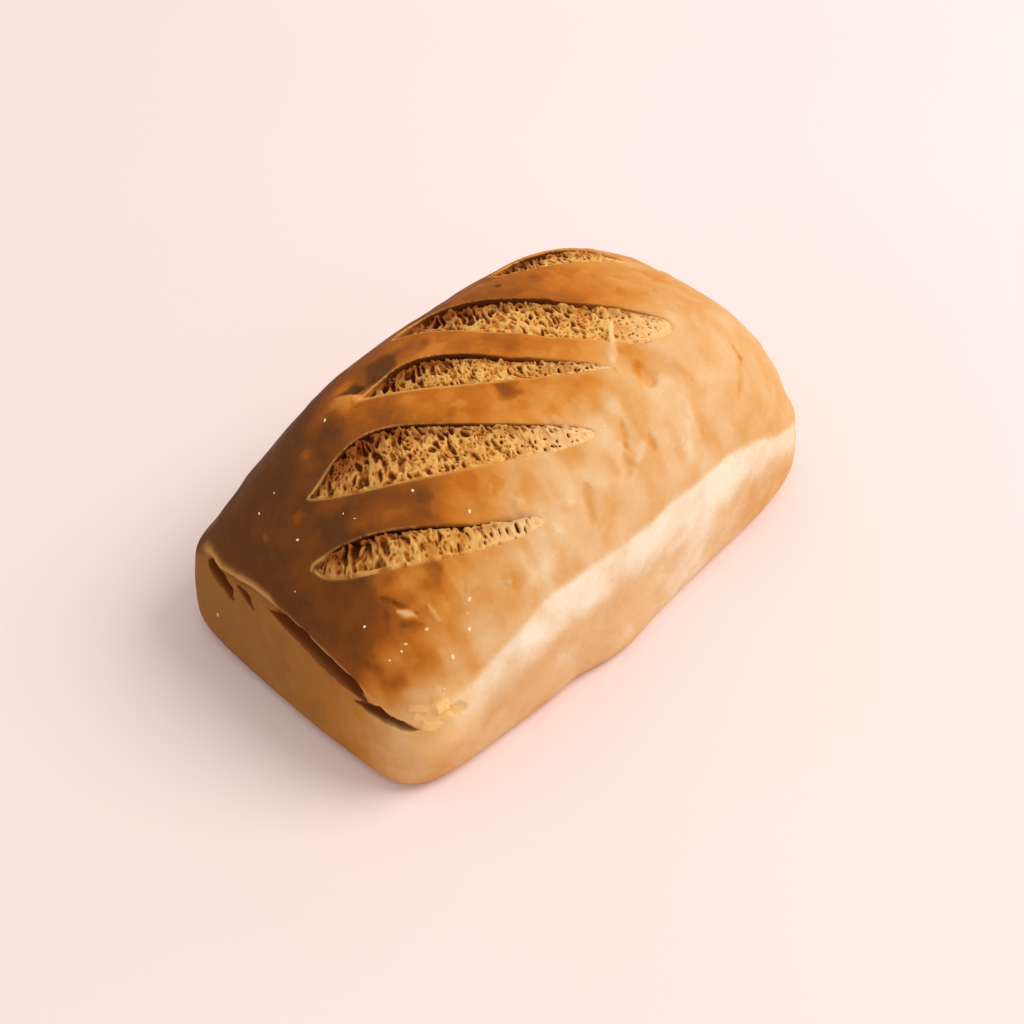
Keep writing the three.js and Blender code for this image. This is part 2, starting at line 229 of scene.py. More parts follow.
# Browning from 0 pale to 1 dark in zones: amount, then for each step by which it sets in the
# field that it follows, where it starts and where it is full
TOP_ZONES = (
    (0.61,),
    (0.34, ("x", -25.0, -88.0)),
    (0.12, ("y", 20.0, 50.0), ("x", 40.0, -10.0)),
    (0.12, ("y", 38.0, 58.0), ("x", 70.0, 10.0)),
    (0.09, ("x", -10.0, 20.0)),
    (-0.3, ("x", 28.0, 75.0)),
)
TOP_RIGHT_ZONES = ((0.22,), (0.04, ("x", 40.0, 80.0)))
UNDER_BAND_ZONES = ((0.15,), (0.05, ("x", 40.0, 80.0)))
RIGHT_WALL_ZONES = (
    (0.1, ("z", 9.0, 1.0)),
    (0.05, ("x", 10.0, -20.0)),
    (0.09, ("x", -88.0, -108.0)),
    (0.05, ("x", 50.0, 80.0)),
)
NEAR_WALL_ZONES = (
    (0.2,),
    (0.52, ("y", -66.0, -4.0)),
    (0.06, ("z", 10.0, 2.0)),
    (0.1, ("y", 10.0, 45.0)),
)
LEFT_WALL_ZONES = ((0.6,), (-0.15, ("x", -80.0, 0.0)))
FAR_WALL_ZONES = ((0.3,), (0.15, ("y", -30.0, 40.0)))
# Paler spot of the right wall: how much, place along the loaf and width
WALL_SPOT = (0.06, 28.0, 18.0)

# Lines in the same form: where the top turns from its right side to its left, upper edge of
# the pale band on the right wall, and rims of the left wall and the far end
TURN_LINE = ((-20.0,), (-26.0, ("x", 40.0, -90.0)))
BAND_LINE = ((57.0,), (-15.0, ("x", -45.0, -105.0)), (-22.0, ("x", 44.0, 116.0)))
LEFT_RIM = ((46.0,), (-20.0, ("x", -70.0, -108.0)))
FAR_RIM = 36.0
# Spans over which one tone passes into the next
TURN_SPAN = (-22.0, 32.0)
BAND_SPAN = (9.0, 26.0)
RIM_SPAN = (-1.2, 2.4)
CORNER_SPAN = (-9.0, 9.0)
RIGHT_SPAN = (10.0, -10.0)
DULL_SPAN = (-58.0, -22.0)
# How far the borders stray along, across and up, and round the tips of the scores
STRAY_BY_AXIS = np.array((1.0, 1.5, 0.5))
TIP_STRAY = 0.7
# Paler crust round the right tips of the scores: how much, and the span from none to full
TIP_PALER = 0.07
TIP_SPAN = (9.0, 2.0)
# Streaks of the right side: stretch, size and draw, span, darkness, what is taken off, steps
STREAK_STRETCH = (1.0, 0.35, 0.35)
STREAK_SIZE, STREAK_DRAW = 5.0, 3
STREAK_SPAN = (0.0, 0.5)
STREAK_DARK, STREAK_LESS = 0.09, 0.035
STREAK_STEPS = (("y", -10.0, -30.0), ("x", 75.0, 40.0))
# What the browning adds to the seed
BROWNING_DRAW = 11

# Corners of the solid that are closer than this are merged
MERGE_DISTANCE = 0.001 * MM
# Easing of the crust: reach round scores and tears and least share there, and the side, by the
# gape, below which a tear isn't kept sharp
EASE_SCORE = (4.5, 0.2)
EASE_TEAR = (3.0, 0.25)
TEAR_UNDERSIDE = -0.1
# Relief of the crust: where it is free of scores, tears and base, and where blisters rise
CRUST_STEPS = (("depth", -0.3, -3.0), ("z", 3.0, 14.0), ("tear", 0.5, 4.0))
DOME_STEPS = (("up", 0.25, 0.5), ("y", 42.0, 30.0))
# Blisters: spacing, draw, least radius and what is added at most, by the spacing, and the
# share of places without one
BLISTER_SPACING, BLISTER_DRAW = 13.0, 5
BLISTER_RADIUS, BLISTER_MORE = 0.1, 0.14
BLISTER_NONE = 0.6
# Lap of the top crust over the near end: height, place above the seam and width of the roll
# and of the hollow under it, and width of the ripple along it
LAP_FORM = ((0.7, 1.2, 1.6), (-0.9, -2.0, 2.2))
RIPPLE_WIDTH = 4.0
# Thinning: span beside scores and tears, softness at the flakes, and least weight
THIN_SPAN = (1.5, 5.0)
THIN_SOFT = 2.0
THIN_LEAST = 0.08

# Darkening of the far walls of the scores, scorched crust with painted shade under the lips;
# painted shade on the crust under the crumb and inside the tears, darkest under the upper lip
WALL_SCORCH_AND_SHADE = ((0.25,), (0.75, ("place", 0.85, 0.45)))
WALL_STEPS = (
    ("facing", -0.45, -0.75), ("lane", 0.6, 0.9), ("depth", -3.0, -1.5), ("place", 1.0, 0.9),
    ("place", 0.02, 0.12),
)
FLOOR_SHADE_STEPS = (("depth", 0.4, 1.2), ("place", 0.96, 0.9), ("place", 0.01, 0.05))
TEAR_SHADE = ((0.65,), (0.35, ("side", -0.5, 0.05)))
TEAR_STEPS = (("frayed", 0.2, -0.7),)
# Light edges of the scores, near and far, paler crust with a painted highlight along the lip:
# place inside the outline, width, zones and steps
RIMS = (
    (-0.25, 0.6, ((0.35,), (0.5, ("place", 0.8, 0.3))), (("lane", 0.5, 0.2),)),
    (-1.0, 0.45, ((0.9, ("place", 0.55, 0.25)),), (("lane", 0.5, 0.8),)),
)
# Light lip of the seam, paler crust with a painted highlight along its edge: strength, place
# above the seam by its width, and that width
LIP_STRENGTH, LIP_PLACE = 0.7, 0.9
LIP_WIDTH = ((1.0,), (0.6, ("y", 5.0, 30.0)))

# Sheet of crumb: half its run along and across a score, as shares, depth of its border, and
# the shares at which the width of a score is measured
SHEET_HALF = (0.496, 0.6)
SLAB_DEPTH = 3.0
WIDTH_SHARES = np.linspace(0.05, 0.95, 40)
# Base of the crumb: shares and lanes where the crust is felt, the height it is felt from, the
# distance of the lip beyond the far edge, and passes that even the heights
FEEL_SHARES = np.linspace(0.015, 0.985, 44)
FEEL_LANES = np.linspace(0.1, 0.85, 6)
FEEL_FROM = 1000.0
LIP_BEYOND = 2.2
FEEL_PASSES = 5
# Fill of a score: share of its drop at the left tip, which is one less at the right; least
# rise to the lip; rise at the near edge; lanes of the rise; free tips, and sinking there
DROP_AT_LEFT = 1.3
LEAST_GAP = 0.6
NEAR_FILL = 0.5
FILL_SPAN = (0.0, 0.9)
FILL_STEPS = (("place", 0.0, 0.08), ("place", 1.0, 0.95))
TIP_SINK = 0.4
# Fall of the base beyond the near and the far edge
NEAR_FALL, FAR_FALL = 1.0, 0.6

# What each score adds to the seed
SCORE_DRAWS = 20
# Left and right part of a score, and lean of the strands along it
LEFT_PART = ("place", 0.5, 0.08)
RIGHT_PART = ("place", 0.5, 0.9)
STRAND_LEAN = ((-0.1,), (0.5, ("place", 0.1, 0.45)))
# Open cells: width, length, wall between them, share that is shut, draw, and depth in zones
PORES = (
    (2.8, 8.0, 0.12, 0.3, 4, ((0.12,), (0.88, LEFT_PART))),
    (1.9, 4.2, 0.14, 0.42, 5, ((0.7,),)),
    (0.95, 1.6, 0.16, 0.5, 6, ((0.4,),)),
)
# Softness of the cells' walls and of their shutting, and how open they are across and along
PORE_SOFT, SHUT_SOFT = 0.4, 0.25
PORE_LANES = ((0.7,), (0.3, ("lane", 0.25, 0.7)))
PORE_PARTS = ((1.0,), (-0.8, RIGHT_PART))
# Round holes: spacing, draw, share of places with one, least radius and what is added at
# most, by the spacing, share of the radius that is fully sunk, and depth in zones
HOLE_SPACING, HOLE_DRAW = 1.7, 7
HOLE_SHARE, HOLE_RADIUS, HOLE_MORE, HOLE_CORE = 0.6, 0.22, 0.34, 0.35
HOLE_PARTS = ((0.16,), (0.64, RIGHT_PART))
HOLE_STEPS = (("place", 0.97, 0.87),)
# Relief of the crumb: where it is free of edges, how rough, ragged near edge and tufts at the
# far lip, each with its place and width
OPEN_STEPS = (("edge", 0.0, 0.9), ("place", 1.0, 0.92), ("place", 0.0, 0.05))
ROUGH_PARTS = ((1.0,), (-0.5, RIGHT_PART))
RAGGED_EDGE = (0.2, 1.1)
TUFT_LANE = (0.95, 0.14)
TUFT_STEPS = (("place", 0.06, 0.2), ("place", 0.97, 0.85))
# Strand over a score: share of the bend, half width, height and lanes
STRAND_SWAY, STRAND_WIDTH, STRAND_HEIGHT = 0.5, 1.9, 0.7
STRAND_STEPS = (("lane", 0.75, 0.5),)
# Pits, darkened as painted shade: passes that even the surface they lie below, and the painted
# shade of level crumb, hollow and cell
CAVITY_PASSES = 30
PIT_LEVEL, PIT_HOLLOW, PIT_CELL = 0.2, 0.45, 0.6
# Toast and painted shade under the lip and at the left tip, and its greatest strength
TOAST_AND_SHADE_ZONES = (
    (0.25, ("border", 0.62, 0.95)),
    (0.4, ("border", 0.62, 0.95), ("place", 0.75, 0.3)),
    (0.4, ("place", 0.42, 0.08)),
    (0.5, ("place", 0.42, 0.08), ("border", 0.2, 0.7)),
)
TOAST_AND_SHADE_MOST = 0.9
# The scores behind the first two pale less towards the right
PALE_SCORES, PALE_LESS = 2, 0.9

# Flecks: range of their length, their width and their height, by the radius
FLECK_LENGTH = (0.9, 1.4)
FLECK_WIDTH, FLECK_HEIGHT = 0.75, 0.5

# Stages of the colours and their places from 0 to 1, masks of the crust with the colours that
# they lay over it, and share of the tin's dull tone
BAKE_STAGES = (
    ("pale", 0.0), ("straw", 0.15), ("gold", 0.3), ("honey", 0.45), ("amber", 0.6),
    ("brown", 0.78), ("dark", 1.0),
)
# Coats over the crust: a painted highlight along the lips over paler crust, scorch with painted
# shade, and the flakes
CRUST_COATS = (("rim", "lip"), ("scorch_and_shade", "scorch_and_shade"), ("flake", "flake"))
# Crumb colours from the light strands to painted shade in the pits
CRUMB_STAGES = (("crumb", 0.05), ("crumb_mid", 0.4), ("crumb_shade", 0.85))
FLECK_STAGES = (("fleck", 0.0), ("flake", 0.4), ("honey", 1.0))
TIN_DULLING = 0.6

# Stage in metres: floor, size of the lamp, and its place to the right, ahead of and above the
# aim; then the camera's film, the shift of its frame and the depth that it sees
FLOOR_SIZE = 6.0
LAMP_SIZE = 1.6
LAMP_RIGHT, LAMP_AHEAD, LAMP_UP = 1.75, 0.35, 1.95
LAMP_TINT = (1.0, 0.965, 0.93)
SKY_TINT = (1.0, 0.975, 0.955, 1.0)
FLOOR_WARMTH = np.array((1.0, 0.94, 0.92, 1.0))
FILM_WIDTH = 36.0
FRAME_SHIFT = (-0.0049, -0.0455)
CLIP_RANGE = (0.01, 20.0)


def smooth_step(value, low, high):
    """0 on the side of low, 1 on the side of high, and eased in between."""
    share = np.clip((value - low) / (high - low), 0.0, 1.0)
    return share * share * (3.0 - 2.0 * share)


def hump(value, centre, width):
    """1 at the centre, falling off to both sides."""
    return np.exp(-((value - centre) / width) ** 2)


def arch(share):
    """Half circle that rises from 0 at both ends to 1 in the middle."""
    return np.sqrt(np.clip(4.0 * share * (1.0 - share), 0.0, 1.0))


def faded(fields, steps):
    """Product of eased steps, each with its field, where it starts and where it is full."""
    share = 1.0
    for field, start, full in steps:
        share = share * smooth_step(fields[field], start, full)
    return share


def zone_sum(fields, zones):
    """Sum of zones, each with its amount and the steps by which it sets in."""
    return sum(amount * faded(fields, steps) for amount, *steps in zones)


def lattice(x, y, z, seed):
    """A repeatable random number from 0 to 1 for each point of a whole-number lattice."""
    mixed = sum(factor * part for factor, part in zip(LATTICE_FACTORS, (x, y, z, seed))) & LOW_32
    mixed = ((mixed ^ (mixed >> 13)) * LATTICE_STIR) & LOW_32
    return ((mixed ^ (mixed >> 16)) & LOW_16) / LOW_16


def grain(points, size, seed):
    """Smooth noise from -1 to 1, with swells of about that size."""
    scaled = points / size
    base = np.floor(scaled).astype(np.int64)
    ease = smooth_step(scaled - base, 0.0, 1.0)
    total = np.zeros(len(points))
    for corner in product((0, 1), repeat=3):
        weight = np.ones(len(points))
        for axis, step in enumerate(corner):
            weight *= ease[:, axis] if step else 1.0 - ease[:, axis]
        total += weight * lattice(*(base + corner).T, seed)
    return 2.0 * total - 1.0


def grains(points, layers, seed=0):
    """Sum of several layers of grain."""
    return sum(height * grain(points, size, seed + draw) for height, size, draw in layers)


def cells(u, v, seed):
    """Distance to the nearest and the next scattered centre, and a draw for the nearest cell."""
    column = np.floor(u).astype(np.int64)
    row = np.floor(v).astype(np.int64)
    nearest = np.full(u.shape, FAR_OFF)
    following = np.full(u.shape, FAR_OFF)
    draw = np.zeros(u.shape)
    for dx, dy in product((-1, 0, 1), repeat=2):
        x, y = column + dx, row + dy
        across, along, chance = (lattice(x, y, layer, seed) for layer in (1, 2, 3))
        distance = np.hypot(u - (x + across), v - (y + along))
        closer = distance < nearest
        following = np.where(closer, nearest, np.minimum(following, distance))
        draw = np.where(closer, chance, draw)
        nearest = np.where(closer, distance, nearest)
    return nearest, following, draw


class ScorePlan:
    """Plan of one score: its chord and its two edges."""

    def __init__(self, start, end, far, near, drop, strand):
        self.start = np.array(start) + PLAN_SHIFT
        run = np.array(end) - np.array(start)
        self.length = float(np.hypot(*run))
        self.along = run / self.length
        self.away = np.array((-self.along[1], self.along[0]))
        self.far = far
        self.near = near
        self.drop = drop
        self.strand = strand

    @staticmethod
    def spread(place, edge):
        """Distance of an edge from the chord."""
        greatest, peak, taper = edge
        rise = (place / peak) ** (taper * peak)
        fall = ((1.0 - place) / (1.0 - peak)) ** (taper * (1.0 - peak))
        return greatest * rise * fall

    def edges(self, place):
        """Offset of the near and the far edge from the chord."""
        return -self.spread(place, self.near), self.spread(place, self.far)

    def local(self, points):
        """Share along the chord and offset across it."""
        offset = points[:, :2] - self.start
        return offset @ self.along / self.length, offset @ self.away

    def inside(self, points):
        """Distance inside the outline, negative outside, with share along and lane across."""
        place, across = self.local(points)
        held = np.clip(place, TIP_SHARE, 1.0 - TIP_SHARE)
        near, far = self.edges(held)
        depth = np.minimum(across - near, far - across)
        past_tip = np.abs(place - held) * self.length
        depth = np.where(past_tip > 0, -np.hypot(past_tip, across), depth)
        return depth, held, (across - near) / (far - near)


PLANS = [ScorePlan(*score) for score in SCORES]


def score_field(points):
    """Distance inside the nearest score, its share along and lane, and its away direction."""
    best = np.full(len(points), -FAR_OFF)
    place = np.zeros(len(points))
    lane = np.zeros(len(points))
    away = np.zeros((len(points), 2))
    for plan in PLANS:
        depth, share, across = plan.inside(points)
        better = (depth > best) & (points[:, 2] > TOP_LEVEL)
        best[better] = depth[better]
        place[better] = share[better]
        lane[better] = across[better]
        away[better] = plan.away
    return best, place, lane, away


def floor_sink(depth):
    """How far the crust goes down under the crumb, by the distance inside the score."""
    return FLOOR_SINK * smooth_step(depth, *SINK_SPAN)


def tear_field(points):
    """Distance outside the nearest tear's mouth, negative inside, and the side it lies on."""
    best = np.full(len(points), FAR_OFF)
    side = np.zeros(len(points))
    for start, end, low, high, gape in TEARS:
        share = (points[:, 1] - start) / (end - start)
        held = np.clip(share, 0.0, 1.0)
        offset = points[:, 2] - (low + (high - low) * held) + TEAR_SAG * gape
        reach = TEAR_HALF * gape * arch(held)
        distance = np.abs(offset) - reach + np.abs(share - held) * (end - start)
        better = (points[:, 0] < NEAR_END) & (distance < best)
        best[better] = distance[better]
        side[better] = offset[better] / gape
    return best, side


def seam_field(points):
    """Height above the seam where the crust of the top laps over the wall of the near end."""
    height = np.interp(points[:, 1], SEAM[:, 0], SEAM[:, 1])
    ends = faded({"y": points[:, 1]}, SEAM_STEPS)
    return points[:, 2] - height, ends * (points[:, 0] < NEAR_END)


def stroke_field(points):
    """How much darker the marks of the crust make it, partly painted shade where they sink, and
    how high they stand.
    """
    shade = np.zeros(len(points))
    height = np.zeros(len(points))
    for start, end, width, darker, rise in STROKES:
        first, last = (
            points[np.argmin(((points - place) ** 2).sum(axis=1))] for place in (start, end)
        )
        run = last - first
        share = np.clip((points - first) @ run / max(run @ run, MARK_LEAST), 0.0, 1.0)
        distance = np.linalg.norm(points - first - share[:, None] * run, axis=1)
        distance += MARK_STRAY * width * grain(points, MARK_GRAIN * width, MARK_DRAW)
        slim = width * (MARK_SLIM + MARK_BELLY * share * (1.0 - share))
        shape = smooth_step(distance / slim, 1.0, MARK_CORE)
        shade += darker * shape
        height += rise * shape
    return shade, height


def flake_field(points, normals):
    """Height of the torn flakes over the crust, and where they and their blush cover it."""
    height = np.zeros(len(points))
    cover = np.zeros(len(points))
    tone = 1.0 + grains(points, FLAKE_TONE)
    for number, (place, heading, length, width, lift) in enumerate(FLAKES):
        offset = points - place
        normal = normals[np.linalg.norm(offset, axis=1) < FLAKE_REACH].mean(axis=0)
        normal = normal / np.linalg.norm(normal)
        forward = heading - normal * (normal @ heading)
        forward = forward / np.linalg.norm(forward)
        along, over = offset @ forward, offset @ np.cross(normal, forward)
        flat = np.column_stack((along, over, np.full(len(points), FLAKE_APART * number)))
        inside = np.minimum(
            length / 2.0 - np.abs(along + grains(flat, FLAKE_ALONG)),
            width / 2.0 - np.abs(over + grains(flat, FLAKE_ACROSS)),
        )
        shape = smooth_step(inside, *FLAKE_EDGE) * (np.abs(offset @ normal) < FLAKE_HEIGHT)
        free = smooth_step(over, width / 2.0, -width / 2.0)
        tilt = FLAKE_HELD + (1.0 - FLAKE_HELD) * free
        height = np.maximum(height, lift * shape * tilt)
        cover = np.maximum(cover, lift * shape * tone)
    middle, reach, core, strength = BLUSH
    apart = np.linalg.norm(points - middle, axis=1) + grains(points, BLUSH_STRAY)
    cover = np.maximum(cover, strength * smooth_step(apart, reach, core * reach))
    return height, np.clip(cover, 0.0, 1.0)


def crust_fields(points, normals):
    """Fields that the relief and the masks of the crust follow, one number for each vertex."""
    depth, place, lane, away = score_field(points)
    tear, side = tear_field(points)
    above, lapped = seam_field(points)
    return {
        "x": points[:, 0], "y": points[:, 1], "z": points[:, 2], "up": normals[:, 2],
        "depth": depth, "place": place, "lane": lane,
        "facing": (normals[:, :2] * away).sum(axis=1),
        "tear": tear, "side": side, "above": above, "lapped": lapped,
    }


def pick_only(*pieces):
    """Makes the given objects the only selected ones, and the first of them active."""
    bpy.ops.object.select_all(action="DESELECT")
    for piece in pieces:
        piece.select_set(True)
    bpy.context.view_layer.objects.active = pieces[0]


@contextmanager
def editing(piece):
    """Edit mode on one piece."""
    pick_only(piece)
    bpy.ops.object.mode_set(mode="EDIT")
    yield
    bpy.ops.object.mode_set(mode="OBJECT")


def apply_modifier(piece, kind, **settings):
    """Adds one modifier with its settings and applies it."""
    pick_only(piece)
    modifier = piece.modifiers.new(kind.lower(), kind)
    for name, value in settings.items():
        setattr(modifier, name, value)
    bpy.ops.object.modifier_apply(modifier=modifier.name)


def read_vertices(mesh, field):
    """One row of three numbers for each vertex."""
    values = np.empty(len(mesh.vertices) * 3)
    mesh.vertices.foreach_get(field, values)
    return values.reshape(-1, 3)


def write_points(mesh, points):
    """Moves the vertices to points given in millimetres."""
    mesh.vertices.foreach_set("co", (points * MM).astype(np.float32).ravel())
    mesh.update()


def write_mask(mesh, name, values):
    """Keeps one number for each vertex under a name that the material reads."""
    mask = mesh.attributes.new(name, "FLOAT", "POINT")
    mask.data.foreach_set("value", values.astype(np.float32))


def weigh(piece, name, weights, steps=12):
    """Vertex group with the weights rounded to a few steps."""
    group = piece.vertex_groups.new(name=name)
    levels = np.round(np.clip(weights, 0.0, 1.0) * steps).astype(int)
    for level in range(1, steps + 1):
        chosen = np.nonzero(levels == level)[0]
        if len(chosen):
            group.add(chosen.tolist(), level / steps, "REPLACE")


def dress(piece, material):
    """Gives a piece its one material and smooth shading."""
    piece.data.materials.clear()
    piece.data.materials.append(material)
    pick_only(piece)
    bpy.ops.object.shade_smooth()


def soften(field, passes):
    """Evens a net of heights by averaging each with its neighbours."""
    for _ in range(passes):
        padded = np.pad(field, ((1, 1), (0, 0)), mode="edge")
        field = (padded[:-2] + 2.0 * padded[1:-1] + padded[2:]) / 4.0
        padded = np.pad(field, ((0, 0), (1, 1)), mode="edge")
        field = (padded[:, :-2] + 2.0 * padded[:, 1:-1] + padded[:, 2:]) / 4.0
    return field


class Graph:
    """Adds and joins the nodes of one shader tree."""

    def __init__(self, tree):
        self.tree = tree

    def feed(self, node, inputs):
        """Sets each input to a number or colour, or joins a socket to it."""
        for key, value in dict(inputs).items():
            if isinstance(value, bpy.types.NodeSocket):
                self.tree.links.new(value, node.inputs[key])
            else:
                node.inputs[key].default_value = value

    def add(self, kind, inputs=(), **settings):
        """New node with its settings and inputs."""
        node = self.tree.nodes.new(kind)
        for name, value in settings.items():
            setattr(node, name, value)
        self.feed(node, inputs)
        return node

    def mask(self, name):
        """Number that the mesh keeps under a name."""
        return self.add("ShaderNodeAttribute", attribute_name=name).outputs["Fac"]

    def math(self, operation, *values):
        """Result of one sum, product or the like."""
        return self.add("ShaderNodeMath", enumerate(values), operation=operation).outputs[0]

    def span(self, value, low, high, to_low=0.0, to_high=1.0):
        """A value eased from one range to another."""
        node = self.add(
            "ShaderNodeMapRange",
            {0: value, 1: low, 2: high, 3: to_low, 4: to_high},
            interpolation_type="SMOOTHSTEP",
        )
        return node.outputs[0]

    def blend(self, factor, first, second, kind="MIX"):
        """Two colours blended by a factor."""
        node = self.add(
            "ShaderNodeMix", {0: factor, 6: first, 7: second}, data_type="RGBA", blend_type=kind
        )
        return node.outputs[2]

    def ramp(self, factor, colours, stages):
        """Colour by a factor, from stages that name a colour and its place."""
        node = self.add("ShaderNodeValToRGB", {0: factor})
        elements = node.color_ramp.elements
        while len(elements) < len(stages):
            elements.new(1.0)
        for element, (name, place) in zip(elements, stages):
            element.position = place
            element.color = solid(getattr(colours, name))
        return node.outputs[0]

    def noise(self, place, scale, detail, roughness):
        """Cloudy noise."""
        node = self.add(
            "ShaderNodeTexNoise",
            {"Vector": place, "Scale": scale, "Detail": detail, "Roughness": roughness},
        )
        return node.outputs["Fac"]

    def mottle(self, blotch_scale, grain_scale):
        """Outputs of the shared mottling."""
        scales = {"Blotch Scale": blotch_scale, "Grain Scale": grain_scale}
        return self.add("ShaderNodeGroup", scales, node_tree=mottle_group()).outputs

    def bump(self, height, strength, distance):
        """Normal that makes fine heights show."""
        inputs = {"Height": height, "Strength": strength, "Distance": distance}
        return self.add("ShaderNodeBump", inputs).outputs[0]


def solid(colour):
    """Colour property as a shader colour."""
    return (*colour, 1.0)


def from_screen(*screen):
    """Screen colour from 0 to 255 as linear light."""
    shares = np.array(screen) / 255.0
    linear = np.where(shares <= 0.04045, shares / 12.92, ((shares + 0.055) / 1.055) ** 2.4)
    return tuple(linear.tolist())


def colour_property(name, description, *screen):
    """Colour that a user can change, given as a screen colour."""
    return FloatVectorProperty(
        name=name, description=description, subtype="COLOR", default=from_screen(*screen)
    )


def length_property(name, description, length):
    """Length that a user can change, given in millimetres."""
    return FloatProperty(
        name=name, description=description, default=length * MM, unit="LENGTH"
    )


class LoafSizes(bpy.types.PropertyGroup):
    """Sizes of the loaf's surface detail."""

    crust_step: length_property("Crust step", "Edge length of the crust mesh", 0.65)
    crust_faces: IntProperty(
        name="Crust faces", description="Triangles left when the plain crust is thinned out",
        default=170000,
    )
    crumb_step: length_property("Crumb step", "Edge length of the crumb mesh", 0.33)
    pit_depth: length_property("Pit depth", "Depth of the open cells of the crumb", 2.1)
    crust_swell: length_property("Crust swell", "Height of the slow swells of the crust", 0.35)
    blister_height: length_property(
        "Blister height", "Height of the small blisters of the crust", 0.5
    )
    seed: IntProperty(name="Seed", description="Seed of every random draw", default=7)


class LoafColours(bpy.types.PropertyGroup):
    """Colours of crust, crumb and stage."""

    pale: colour_property("Pale crust", "Band of the wall that took no colour", 246, 228, 202)
    straw: colour_property("Straw crust", "Crust that stood in the tin", 228, 186, 138)
    gold: colour_property("Golden crust", "Lightly baked crust", 218, 162, 101)
    honey: colour_property("Honey crust", "Evenly baked crust", 210, 137, 61)
    amber: colour_property("Amber crust", "Well baked crust", 192, 110, 36)
    brown: colour_property("Brown crust", "Strongly baked crust", 146, 80, 30)
    dark: colour_property("Dark crust", "Darkest crust", 102, 61, 31)
    tin_side: colour_property(
        "Tin side", "Dull tone of the walls that stood against the tin", 160, 115, 62
    )
    # Lip: paler crust with a painted highlight along the edges of scores and seam
    lip: colour_property("Lip", "Thin light edge round scores and seam", 226, 166, 92)
    crumb: colour_property("Crumb", "Light strands of the crumb", 234, 180, 100)
    crumb_mid: colour_property("Crumb middle", "Body of the crumb", 204, 128, 50)
    crumb_shade: colour_property("Crumb shade", "Pits of the crumb", 116, 62, 26)
    # Toasted crumb and painted shade under the lip and at the left tip
    crumb_toast_and_shade: colour_property(
        "Toasted crumb", "Tint of the crumb close to the lip", 152, 98, 54
    )
    crumb_pale: colour_property(
        "Pale crumb", "Crumb at the shallow end of a score", 246, 206, 148
    )
    # Scorched crust and painted shade: far walls under the lips, floor of the scores and inside
    # of the tears
    scorch_and_shade: colour_property(
        "Scorched edge", "Walls under the lips and inside the tears", 96, 48, 20
    )
    # Fleck: pale specks that paint the glints of small blisters
    fleck: colour_property("Fleck", "Flour flecks", 252, 230, 202)
    flake: colour_property("Flake", "Torn flakes of crust", 255, 208, 138)
    floor: colour_property("Floor", "Pale floor", 246, 229, 226)


class LoafStage(bpy.types.PropertyGroup):
    """Light and camera."""

    key_power: FloatProperty(
        name="Key light", description="Power of the soft light from the right",
        default=44.0, unit="POWER",
    )
    sky_strength: FloatProperty(
        name="Sky", description="Strength of the even light all round", default=0.7,
    )
    aim: FloatVectorProperty(
        name="Aim", description="Point that light and camera are turned to",
        default=(2.67 * MM, 2.05 * MM, 40.0 * MM), subtype="TRANSLATION", unit="LENGTH",
    )
    azimuth: FloatProperty(
        name="Azimuth", description="Direction of the view around the loaf",
        default=math.radians(-46.511), subtype="ANGLE",
    )
    elevation: FloatProperty(
        name="Elevation", description="Height of the view above the floor",
        default=math.radians(43.556), subtype="ANGLE",
    )
    distance: length_property("Distance", "Distance from the camera to its aim", 599.04)
    lens: FloatProperty(
        name="Lens", description="Focal length", default=53.62, subtype="DISTANCE_CAMERA",
    )


def mottle_group():
    """Blotches, grain and patches of a baked surface, shared by crust and crumb."""
    group = bpy.data.node_groups.get("bake_mottle")
    if group:
        return group
    group = bpy.data.node_groups.new("bake_mottle", "ShaderNodeTree")
    for direction, names in (
        ("INPUT", ("Blotch Scale", "Grain Scale")), ("OUTPUT", ("Blotch", "Grain", "Patch")),
    ):
        for name in names:
            group.interface.new_socket(name, in_out=direction, socket_type="NodeSocketFloat")
    graph = Graph(group)
    given = graph.add("NodeGroupInput")
    place = graph.add("ShaderNodeTexCoord").outputs["Object"]
    blotch = graph.noise(place, given.outputs["Blotch Scale"], 4.0, 0.6)
    fine = graph.noise(place, given.outputs["Grain Scale"], 3.0, 0.6)
    stray = graph.add("ShaderNodeTexNoise", {"Vector": place, "Scale": 130.0, "Detail": 2.0})
    moved = graph.add(
        "ShaderNodeVectorMath", {0: stray.outputs["Color"], 1: (7.0 * MM,) * 3, 2: place},
        operation="MULTIPLY_ADD",
    )
    patch = graph.add(
        "ShaderNodeTexVoronoi",
        {"Vector": moved.outputs[0], "Scale": 170.0, "Smoothness": 0.42},
        feature="SMOOTH_F1",
    )
    graph.add(
        "NodeGroupOutput", {"Blotch": blotch, "Grain": fine, "Patch": patch.outputs["Color"]}
    )
    return group


def new_material(name):
    """Empty node material with its shader and output."""
    material = bpy.data.materials.new(name)
    material.use_nodes = True
    material.node_tree.nodes.clear()
    graph = Graph(material.node_tree)
    shader = graph.add("ShaderNodeBsdfPrincipled")
    graph.add("ShaderNodeOutputMaterial", {"Surface": shader.outputs[0]})
    return material, graph, shader


